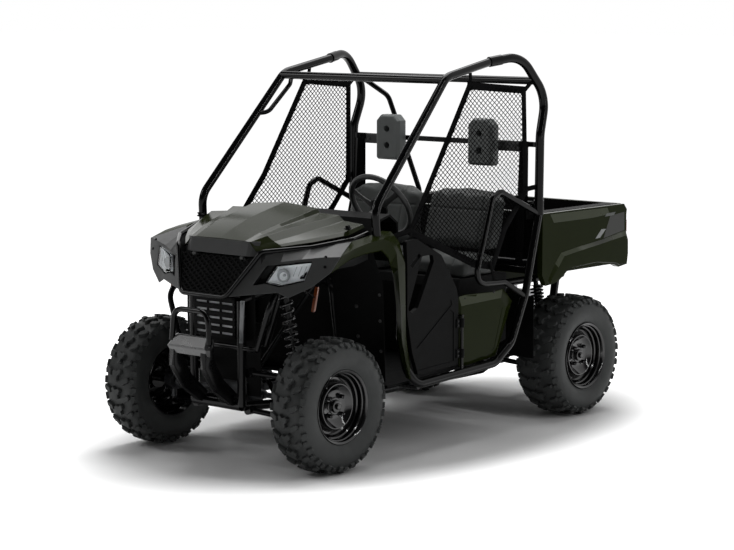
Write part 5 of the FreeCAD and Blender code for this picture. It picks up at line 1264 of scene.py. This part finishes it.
def radiator():
    guard, core, tanks = Build(), Build(), Build()
    pitch_x = (2 * RAD_HALF - SLOT_PAD) / SLOT_COLUMNS
    pitch_z = (RAD_TOP - RAD_LOW - SLOT_PAD) / SLOT_ROWS
    for column in range(SLOT_COLUMNS + 1):
        x = pitch_x * column - RAD_HALF
        box_shape(guard, (x, RAD_FRONT, RAD_LOW), (x + COLUMN_W, COLUMN_BACK, RAD_TOP), SLOT_EDGE)
    for row in range(SLOT_ROWS + 1):
        low = RAD_LOW + (BAR_LOW + pitch_z * (row - 1) if row else 0)
        high = RAD_TOP if row == SLOT_ROWS else RAD_LOW + BAR_TOP + pitch_z * row
        box_shape(guard, (-RAD_HALF, BAR_FRONT, low), (RAD_HALF, BAR_BACK, high), SLOT_EDGE)
    for place in guard_bolts:
        bolt(guard, place, -AHEAD, *RAD_BOLT)
    guard.make("radiator_guard", "black_plastic", "chassis", replaces=("radiator",), angle=30)
    half, rings = RAD_HALF - FIN_INSET, []
    for i in range(FIN_FOLDS + 1):
        z = RAD_LOW + FIN_INSET + (RAD_TOP - RAD_LOW - 2 * FIN_INSET) * i / FIN_FOLDS
        near, far = fin_fronts[i % 2], FIN_BACK
        rings.append([Vector((x, y, z)) for x, y in ((-half, near), (half, near), (half, far), (-half, far))])
    core.loft(rings)
    core.make("radiator_core", "cast_metal", "chassis", look="radiator_fins", angle=10)
    for low, high in tank_boxes:
        box_shape(tanks, low, high, TANK_EDGE)
    side_box(tanks, *tank_side)
    tanks.make("radiator_tanks", "black_plastic", "chassis", angle=30)


# Front guard: glossy loop, folded bumper plate and two tapering arms
guard_loop_places = [(-0.118, -1.2728, 0.5724), (-0.106, -1.2691, 0.7164), (0.106, -1.2691, 0.7164),
                     (0.118, -1.2728, 0.5724)]
LOOP_BEND = 0.062
LOOP_R = 0.0129
# Rows of z, y and half width, and the section's corners: side, inset and step back
plate_rows = [(0.602, -1.26, 0.104), (0.598, -1.265, 0.112), (0.558, -1.2975, 0.126), (0.548, -1.2982, 0.136),
              (0.518, -1.288, 0.124)]
plate_section = [(-1, 0, 0.012), (-1, 0.016, 0), (1, 0.016, 0), (1, 0, 0.012), (1, 0, 0.0145),
                 (1, 0.016, 0.004),
                 (-1, 0.016, 0.004), (-1, 0, 0.0145)]
arm_front = [(-1.262, 0.59), (-1.293, 0.548), (-1.296, 0.4608), (-1.23, 0.351), (-1.1137, 0.27)]
arm_back = [(-1.238, 0.59), (-1.242, 0.548), (-1.24, 0.495), (-1.184, 0.405), (-1.0823, 0.315)]
arm_web = [(y + 0.004, z + 0.0015) for y, z in arm_front]
arm_walls = [(0.0822, 0.087, arm_back), (0.1112, 0.1158, arm_back), (0.0822, 0.1158, arm_web)]
arm_bolts = [(0.1158, -1.272, 0.54), (0.1158, -1.26, 0.472), (0.1158, -1.11, 0.298)]
PLATE_EDGE = 0.0018
ARM_EDGE = 0.0012
ARM_BOLT = (0.007, 0.005)


def front_guard():
    loop, plate, arms = Build(), Build(), Build()
    pipe(loop, bent_path(guard_loop_places, LOOP_BEND, 10), LOOP_R, 20, up=AHEAD)
    loop.make("guard_loop", "tube_black", "chassis", replaces=("front_guard",), angle=60)
    plate.loft([[Vector((way * (half - inset), y + back, z)) for way, inset, back in plate_section]
                for z, y, half in plate_rows])
    rounded(plate.make("guard_plate", "frame_black", "chassis", look="guard_sheen", angle=12), PLATE_EDGE, 2,
            10)
    for side in WAYS:
        for near, far, rear in arm_walls:
            arms.loft([[Vector((side * x, *place)) for x, place in ((near, f), (far, f), (far, b), (near, b))]
                       for f, b in zip(arm_front, rear)])
        side_bolts(arms, side, arm_bolts, ARM_BOLT)
    rounded(arms.make("guard_arms", "frame_black", "chassis", angle=20), ARM_EDGE, 2, 20)


# Stay at the nose: a flat pale bracket with a folded rim
stay_top, stay_low = Vector((0.19, -1.134, 0.761)), Vector((0.18, -1.134, 0.569))
stay_section = [(-0.011, -0.003), (0.011, -0.003), (0.011, 0.002), (0.007, 0.002), (0.007, 0.0),
                (-0.007, 0.0),
                (-0.007, 0.002), (-0.011, 0.002)]
stay_bolts = [(0.19, -1.137, 0.747), (0.18, -1.137, 0.583)]
STAY_BOLT = (0.0055, 0.004)


def nose_stays():
    pale = Build()
    pale.loft([[middle + Vector((dx, dy, 0)) for dx, dy in stay_section]
               for middle in (stay_top, (stay_top + stay_low) / 2, stay_low)])
    for place in stay_bolts:
        bolt(pale, place, -AHEAD, *STAY_BOLT)
    pale.make("nose_stays", "steel", "chassis", look="stay_grey", angle=25)


# Painted shade: dark sheets that close the view through the frame in front and in front of the rear wheels
FRAME_SHADE_SHEET_EDGE = 0.001
frame_shade_middle = ((-0.158, -0.985, 0.3), (0.158, -0.981, 0.64))
frame_shade_sides = [((0.134, -1.08, 0.575), (0.215, -1.077, 0.8)), ((0.3, 0.548, 0.33), (0.555, 0.552, 0.64))]


def frame_shade_sheets():
    build = Build()
    box_shape(build, *frame_shade_middle, FRAME_SHADE_SHEET_EDGE)
    for low, high in frame_shade_sides:
        side_box(build, low, high, FRAME_SHADE_SHEET_EDGE)
    build.make("frame_shade_sheets", "black_plastic", "chassis", angle=30)


radiator()
front_guard()
nose_stays()
frame_shade_sheets()


# Seats: cushions and backs swollen as cloth, with sewn channels
SEAT_IN_X = 0.024
SEAT_OUT_X = 0.488
CLOTH_FRAMES = 20
CLOTH_VOXEL = 0.009
SWELL_CAP = 0.014
SEAM_DEPTH = 0.0045
SEAM_W = 0.0045
cushion_outline = [(0.0865, 0.7665), (0.076, 0.83), (0.105, 0.856), (0.348, 0.858), (0.382, 0.7665)]
back_outline = [(0.285, 0.863), (0.365, 1.165), (0.393, 1.189), (0.44, 1.187), (0.45, 1.15),
                (0.39, 0.863)]
# Each pad: outline, inset, cut of the upper corners, lowest z, seams (axis, place) and the way they face
PADS = {
    "seat_cushion": (cushion_outline, 0.006, 0.0, 0.7662, ((0, 0.11), (0, 0.402), (1, 0.285)), (0, 0, 1)),
    "seat_back": (back_outline, 0.008, 0.06, 0.8612, ((0, 0.11), (0, 0.402), (2, 1.07)), (0, -1, 0.2))}
pad_stations = ((0.0, 0.88), (0.05, 0.97), (0.15, 1.0), (0.5, 1.0), (0.85, 1.0), (0.95, 0.97), (1.0, 0.88))
CLOTH = {"quality": 4, "mass": 0.3, "use_pressure": True, "uniform_pressure_force": 4.0,
         "tension_stiffness": 12}


def pad_shape(outline, inset, top_cut):
    """A block with the outline, drawn in at both ends, whose upper corners are cut."""
    my, mz = (sum(values) / len(outline) for values in zip(*outline))
    top = max(z for _, z in outline)
    build = Build()
    rings = []
    for share, scale in pad_stations:
        x = SEAT_IN_X + inset + (SEAT_OUT_X - SEAT_IN_X - 2 * inset) * share
        cut = top_cut * max(0.0, (abs(share - 0.5) - 0.3) / 0.2)
        ring = []
        for y, z in outline:
            py, pz = my + (y - my) * scale, mz + (z - mz) * scale
            away = Vector((py - my, pz - mz)).normalized() * inset
            ring.append(Vector((x, py - away.x, min(pz - away.y, top - inset - cut))))
        rings.append(ring)
    build.loft(rings)
    return build


def swell(obj, floor_z):
    """Remeshes a pad, blows it up as cloth with its travel capped, and keeps the outcome."""
    modify(obj, "REMESH", mode="VOXEL", voxel_size=CLOTH_VOXEL)
    baked(obj)
    rest = [v.co.copy() for v in obj.data.vertices]
    cloth = modify(obj, "CLOTH")
    for key, value in CLOTH.items():
        setattr(cloth.settings, key, value)
    cloth.settings.effector_weights.gravity = 0.0
    cloth.collision_settings.use_collision = False
    for step in range(1, CLOTH_FRAMES + 1):
        bpy.context.scene.frame_set(step)
    baked(obj)
    bpy.context.scene.frame_set(1)
    for point, start in zip(obj.data.vertices, rest):
        travel = point.co - start
        if travel.length > SWELL_CAP:
            point.co = start + travel.normalized() * SWELL_CAP
        point.co.z = max(point.co.z, floor_z)
    modify(obj, "SMOOTH", factor=0.5, iterations=3)
    modify(obj, "SUBSURF", levels=1, render_levels=1)
    baked(obj)
    obj.data.shade_smooth()


def press_seams(obj, seams, facing):
    """Presses sewn channels into the side of a pad that faces one way."""
    facing = Vector(facing).normalized()
    normals = [v.normal.copy() for v in obj.data.vertices]
    for v, normal in zip(obj.data.vertices, normals):
        if normal.dot(facing) >= 0.25:
            near = min(abs(v.co[axis] - place) for axis, place in seams)
            v.co -= normal * SEAM_DEPTH * math.exp(-(near / SEAM_W) ** 2)


pads = []
for name, (outline, inset, top_cut, floor_z, seams, facing) in PADS.items():
    pad = pad_shape(outline, inset, top_cut).make(name + "_left", "seat_vinyl", "chassis",
                                                  replaces=(name + "s",))
    swell(pad, floor_z)
    press_seams(pad, seams, facing)
    pads.append(pad)
for pad in pads:
    mirror_piece(pad)


# Headrests: moulded pads with two sunken holes and a chamfered rim
REST_X = 0.297
REST_Z = 1.3936
REST_HALF_W = 0.075
REST_HALF_H = 0.115
REST_CORNER = 0.006
REST_EDGE = 0.0045
# Rings of y, growth and the cut of the upper corners
rest_rings = [(0.4305, -0.016, 0.018), (0.43, -0.014, 0.02), (0.434, -0.006, 0.026), (0.448, 0.0, 0.03),
              (0.488, 0.0, 0.03), (0.5, -0.006, 0.026), (0.5038, -0.016, 0.02)]
rest_holes = (1.3516, 1.4356)
HOLE_Y = 0.41
HOLE_R = 0.0165
HOLE_DEPTH = 0.055
PLUG_Y = 0.466
plug_profile = [(0, 0.0135), (0.004, 0.0135), (0.005, 0.011), (0.005, 0.0055), (0.009, 0.0048),
                (0.0095, 0.0001)]
rest_clamp = ((0.237, 0.5042, 1.3772), (0.357, 0.5127, 1.4018), 0.002)


def headrest(side):
    build = Build()
    rings = []
    for y, grow, cut in rest_rings:
        a, b, c = REST_HALF_W + grow, REST_HALF_H + grow, REST_CORNER
        ring = [(-a, c - b), (c - a, -b), (a - c, -b), (a, c - b), (a, b - cut), (a - cut, b), (cut - a, b),
                (-a, b - cut)]
        rings.append([Vector((side * REST_X + x, y, REST_Z + z)) for x, z in ring])
    build.loft(rings)
    obj = build.make("headrest_" + SIDE_NAMES[side], "soft_black", "chassis", angle=60, look="headrest_skin",
                     replaces=("headrests",) if side > 0 else ())
    for z in rest_holes:
        cut_away(obj, disc_ring(Vector((side * REST_X, HOLE_Y, z)), HOLE_R, AHEAD), AHEAD * HOLE_DEPTH)
    rounded(obj, REST_EDGE, 3, 20)


def headrest_mounts():
    """Clamp brackets and the rubber plugs deep in the holes."""
    build = Build()
    side_box(build, *rest_clamp)
    for side in WAYS:
        for z in rest_holes:
            turned_solid(build, Vector((side * REST_X, PLUG_Y, z)), -AHEAD, plug_profile, 20)
    build.make("headrest_mounts", "frame_black", "chassis")


for side in WAYS:
    headrest(side)
headrest_mounts()


# Seat belts: webbing, guides, reels, stays and buckles
BELT_X = 0.5015
BELT_WIDE = 0.0445
WEB_T = 0.0014
SELVEDGE, FLAT_FROM = 0.004, 0.012
BELT_FOOT = (0.4644, 0.8138)
BELT_TOP = (0.4935, 1.3976)
LAP_SAG = 0.0012
LAP_STEPS = 14
riser_line = [(0.5035, 1.1054 + 0.2812 * step / 8) for step in range(9)]
# Low corner, high corner and chamfer of the reel, guide, stay and buckle guide
belt_boxes = [((0.4935, 0.4965, 1.0234), (0.55, 0.551, 1.1094), 0.007),
              ((0.4935, 0.4895, 1.3756), (0.552, 0.501, 1.4044), 0.003),
              ((0.5, 0.515, 1.0674), (0.58, 0.536, 1.1024), 0.002),
              ((0.506, 0.46, 0.817), (0.54, 0.4668, 0.862), 0.002)]
REEL_PLACE = Vector((0.4945, 0.524, 1.0564))
reel_profile = [(-0.0005, 0.018), (0.001, 0.024), (0.054, 0.024), (0.056, 0.018)]
belt_bolts = [((0.523, 0.46, 0.83), 0.007, 0.005), ((0.523, 0.4895, 1.3896), 0.006, 0.004)]
FITTING_EDGE = 0.0018
stalk_line = [(0.42, 0.77), (0.415, 0.8), (0.4045, 0.85)]
STALK_W = 0.02
STALK_X = 0.014
buckle_box = ((-0.01, 0.395, 0.845), (0.01, 0.419, 0.905))
BUCKLE_CHAMFER = 0.004
BUCKLE_EDGE = 0.002


def webbing(build, path, low_x, width):
    """A ribbon along points in a plane across X, with a bead at each selvedge."""
    section = ((0.0, 0.9), (SELVEDGE, 1.5), (FLAT_FROM, 1.0), (width - FLAT_FROM, 1.0),
               (width - SELVEDGE, 1.5),
               (width, 0.9))
    rings = []
    for before, (y, z), after in zip(path[:1] + path, path, path[1:] + path[-1:]):
        way = Vector((0, after[0] - before[0], after[1] - before[1])).normalized()
        out = Vector((0, -way.z, way.y)) * (WEB_T / 2)
        rings.append([Vector((low_x + x, y, z)) + out * k for x, k in section]
                     + [Vector((low_x + x, y, z)) - out * k for x, k in reversed(section)])
    build.loft(rings)


def belts():
    web, hard, one, two = Build(), Build(), Build(), Build()
    (foot_y, foot_z), (top_y, top_z) = BELT_FOOT, BELT_TOP
    lap = []
    for step in range(LAP_STEPS + 1):
        t = step / LAP_STEPS
        lap.append((foot_y + (top_y - foot_y) * t - LAP_SAG * math.sin(math.pi * t),
                    foot_z + (top_z - foot_z) * t))
    for line in (lap, riser_line):
        webbing(one, line, BELT_X, BELT_WIDE)
    for box in belt_boxes:
        box_shape(two, *box)
    turned_solid(two, REEL_PLACE, ALONG, reel_profile)
    for place, radius, height in belt_bolts:
        bolt(two, place, -AHEAD, radius, height)
    web.add_mirrored(one)
    hard.add_mirrored(two)
    web.make("belt_webbing", "net_black", "chassis", replaces=("seat_belts",), angle=60)
    rounded(hard.make("belt_fittings", "black_plastic", "chassis", angle=30), FITTING_EDGE, 2, 30)


def buckles():
    """A stalk and a buckle beside the inner end of each cushion."""
    build, web = Build(), Build()
    (low_x, *low), (high_x, *high) = buckle_box
    for x in (-STALK_X, STALK_X):
        webbing(web, stalk_line, x - STALK_W / 2, STALK_W)
        box_shape(build, (x + low_x, *low), (x + high_x, *high), BUCKLE_CHAMFER)
    rounded(build.make("buckle_bodies", "black_plastic", "chassis"), BUCKLE_EDGE, 2, 30)
    web.make("buckle_stalks", "net_black", "chassis", angle=60)


belts()
buckles()


# Steering wheel: padded rim with grip seams, dished spokes and hub
STEER_CENTRE = Vector((0.297, -0.3108, 1.134))
STEER_TILT = math.radians(31.0)
STEER_WAY = Vector((0, -math.cos(STEER_TILT), -math.sin(STEER_TILT)))
STEER_DOWN = ALONG.cross(STEER_WAY)
STEER_R = 0.164
STEER_GRIP = 0.0138
STEER_STEPS, GRIP_SIDES = 96, 20
grip_seams = (66, 114, 186, 234, 306, 354)
SEAM_SHARE, SEAM_REACH = 0.07, 0.025
hub_rings = [(0.0005, 0.03), (0.0035, 0.04), (0.0105, 0.0465), (0.0225, 0.047), (0.0345, 0.036),
             (0.05, 0.024)]
# Sections of a spoke: reach, lift, half width and thickness, and their corners as shares of the last two
spoke_sections = [(0.03, 0.024, 0.022, 0.007), (0.06, 0.02, 0.0165, 0.006), (0.105, 0.012, 0.0125, 0.0055),
                  (0.14, 0.004, 0.0145, 0.0055), (0.158, 0.0, 0.018, 0.006)]
spoke_corners = [(1, -0.3), (0.7, -1), (-0.7, -1), (-1, -0.3), (-1, 0.3), (-0.7, 1), (0.7, 1), (1, 0.3)]


def steer_out(angle):
    return ALONG * math.cos(angle) + STEER_DOWN * math.sin(angle)


def steering_wheel():
    rim, hub, arms = Build(), Build(), Build()
    rings = []
    for i in range(STEER_STEPS):
        angle = 2 * math.pi * i / STEER_STEPS
        near = min(abs((angle - math.radians(d) + math.pi) % (2 * math.pi) - math.pi) for d in grip_seams)
        grip = STEER_GRIP * (1 - SEAM_SHARE * math.exp(-(near / SEAM_REACH) ** 2))
        turns = [2 * math.pi * k / GRIP_SIDES for k in range(GRIP_SIDES)]
        rings.append([STEER_CENTRE + steer_out(angle) * (STEER_R + grip * math.cos(turn) * 0.98)
                      + STEER_WAY * (grip * math.sin(turn)) for turn in turns])
    rim.loft(rings, loop=True)
    rim.make("steering_rim", "soft_black", "steering_wheel", replaces=("steering_wheel",), angle=70,
             look="steering_grip")
    turned_solid(hub, STEER_CENTRE, STEER_WAY, hub_rings, 36)
    hub.make("steering_hub", "black_plastic", "steering_wheel")
    for degrees in (90, 210, 330):
        out = steer_out(math.radians(degrees))
        side = STEER_WAY.cross(out).normalized()
        arms.loft([[STEER_CENTRE + out * reach + side * (half * a) + STEER_WAY * (lift + thick * b)
                    for a, b in spoke_corners] for reach, lift, half, thick in spoke_sections])
    modify(arms.make("steering_spokes", "grey_plastic", "steering_wheel"), "SUBSURF", levels=2,
           render_levels=2)


steering_wheel()


# Coil over shock absorbers: wound springs, damper bodies, collars and eyes
shock_ends = [((0.264, FRONT_AXLE_Y, 0.819), (0.34294, FRONT_AXLE_Y, 0.4345)),
              ((0.3, 0.9065, 0.6696), (0.3355, REAR_AXLE_Y, 0.4345))]
COIL_R = 0.0318
WIRE_R = 0.0052
COIL_TURNS = 8.5
COIL_STEPS = 221
COIL_TOP, COIL_FOOT = 0.04, 0.052
COIL_DRAW = 0.001
damper = [(0.0, 0.008), (0.01, 0.011), (0.018, 0.013), (0.03, 0.013), (0.031, 0.0295), (0.033, 0.0295),
          (0.0345, 0.018), (0.04, 0.0165), (0.15, 0.0165), (0.151, 0.0075)]
damper_rod = (0.15, 0.0075)
# The lower part: distances back from its foot
damper_foot = [(0.085, 0.0075), (0.084, 0.0215), (0.052, 0.0215), (0.0515, 0.0325), (0.047, 0.0325),
               (0.0465, 0.0205), (0.014, 0.0195), (0.008, 0.012)]
EYE_HALF = 0.0148
EYE_BOLT = (0.0065, 0.006)
eye_rings = [(0, 0.0125), (0.001, 0.0145), (0.0286, 0.0145), (0.0296, 0.0125)]


def shock(springs, dampers, top, foot):
    way, length = (foot - top).normalized(), (foot - top).length
    up = way.cross(AHEAD).normalized()
    path = []
    for step in range(COIL_STEPS + 1):
        t = step / COIL_STEPS
        angle = 2 * math.pi * COIL_TURNS * t
        reach = COIL_R - COIL_DRAW * (0.5 + 0.5 * math.cos(2 * math.pi * min(1, min(t, 1 - t) * 9)))
        along = COIL_TOP + (length - COIL_FOOT - COIL_TOP) * t
        path.append(top + way * along + AHEAD * (reach * math.cos(angle)) + up * (reach * math.sin(angle)))
    pipe(springs, path, WIRE_R, 12, up=way)
    turned_solid(dampers, top, way, damper)
    turned_solid(dampers, top, way, [damper_rod] + [(length - back, r) for back, r in damper_foot])
    for centre in (top, foot):
        turned_solid(dampers, centre - AHEAD * EYE_HALF, AHEAD, eye_rings, 24)
        bolt(dampers, centre - AHEAD * EYE_HALF, -AHEAD, *EYE_BOLT)


def all_shocks():
    springs, dampers = Build(), Build()
    for ends in shock_ends:
        for side in WAYS:
            shock(springs, dampers, *(Vector((side * x, y, z)) for x, y, z in ends))
    springs.make("shock_springs", "spring_black", "chassis", replaces=("shocks",))
    dampers.make("shock_dampers", "frame_black", "chassis", angle=35)


all_shocks()


# Bed sides: bare slanted stripes and patch, a hair proud of the side's own face
DECAL_T = 0.0004
# Each decal: x of its face and corners of y and z
DECALS = {"bed_stripe": (0.6004, [(1.057, 0.934), (1.097, 0.933), (1.046, 0.892), (1.005, 0.89)]),
          "bed_stripe_upper": (0.6009, [(1.1, 1.0105), (1.18, 1.0135), (1.166, 0.9985), (1.086, 0.9955)]),
          "bed_patch": (0.6004, [(1.133, 0.996), (1.26, 1.008), (1.262, 0.913), (1.076, 0.886)])}
for name, (x, ring) in DECALS.items():
    decal = Build()
    for side in WAYS:
        decal.add(*pushed([Vector((side * x, y, z)) for y, z in ring], ALONG * side * DECAL_T))
    decal.make(name, "black_plastic", "bed", look=name, angle=20)


# Reflectors on the inner walls behind the lamps, with their stays
REFLECTOR_LOW, REFLECTOR_TOP = Vector((0.45, -0.954, 0.717)), Vector((0.45, -0.927, 0.826))
reflector_rings = [(0.0, 0.0075), (0.06, 0.0105), (0.94, 0.0105), (1.0, 0.0075)]
reflector_section = [(-1, 0.0), (-0.8, -0.004), (0.8, -0.004), (1, 0.0), (1, 0.004), (-1, 0.004)]
reflector_stay = [(0.45, -0.942, 0.78), (0.405, -0.947, 0.799), (0.36, -0.962, 0.818)]
REFLECTOR_STAY_T, REFLECTOR_STAY_W = 0.0035, 0.009


def reflectors():
    part, build, stays = Build(), Build(), Build()
    part.loft([[REFLECTOR_LOW.lerp(REFLECTOR_TOP, t) + Vector((half * a, dy, 0)) for a,
                dy in reflector_section]
               for t, half in reflector_rings])
    build.add_mirrored(part)
    build.make("reflectors", "lamp_red", "chassis", look="amber", angle=30)
    for side in WAYS:
        pipe(stays, [Vector((side * x, y, z)) for x, y, z in reflector_stay], REFLECTOR_STAY_T, 10,
             wide=REFLECTOR_STAY_W)
    stays.make("reflector_stays", "frame_black", "chassis")


# Push clips down the inner wall of each front arch, and bolts on the side panels and the doors' straps
arch_places = [(0.52, 0.76), (0.52, 0.64), (0.52, 0.5), (0.4, 0.7), (0.4, 0.56)]
arch_lines = {0.52: (-0.305, -0.01), 0.4: (-0.3115, -0.0185)}
ARCH_PROUD = 0.001
arch_profile = [(-0.004, 0.0085), (0.0016, 0.0085), (0.003, 0.0065), (0.003, 0.0045), (0.0018, 0.004),
                (0.0018, 0.0001)]
panel_bolt_places = [(0.5752, -0.028, 0.69), (0.5752, 0.2, 0.698), (0.5752, -0.04, 0.395),
                     (0.5752, 0.15, 0.4)]
door_bolt_places = [(0.595, -0.099, z) for z in (0.4286, 0.4486, 0.5726, 0.5926)]
PANEL_BOLT, DOOR_BOLT = (0.0055, 0.0035), (0.0048, 0.0032)


def arch_clips():
    build = Build()
    for side in WAYS:
        for x, z in arch_places:
            start, slope = arch_lines[x]
            y = WHEELBASE * (start + slope * (z / CAGE_TOP - 0.2) / 0.25) - ARCH_PROUD
            turned_solid(build, Vector((side * x, y, z)), -AHEAD, arch_profile, 20)
    build.make("arch_clips", "grey_plastic", "chassis")


def panel_bolts():
    chassis = Build()
    for side in WAYS:
        side_bolts(chassis, side, panel_bolt_places, PANEL_BOLT)
    chassis.make("panel_bolts", "frame_black", "chassis")
    for side, name in SIDE_NAMES.items():
        door = Build()
        side_bolts(door, side, door_bolt_places, DOOR_BOLT)
        door.make("door_bolts_" + name, "frame_black", "door_" + name)


reflectors()
arch_clips()
panel_bolts()
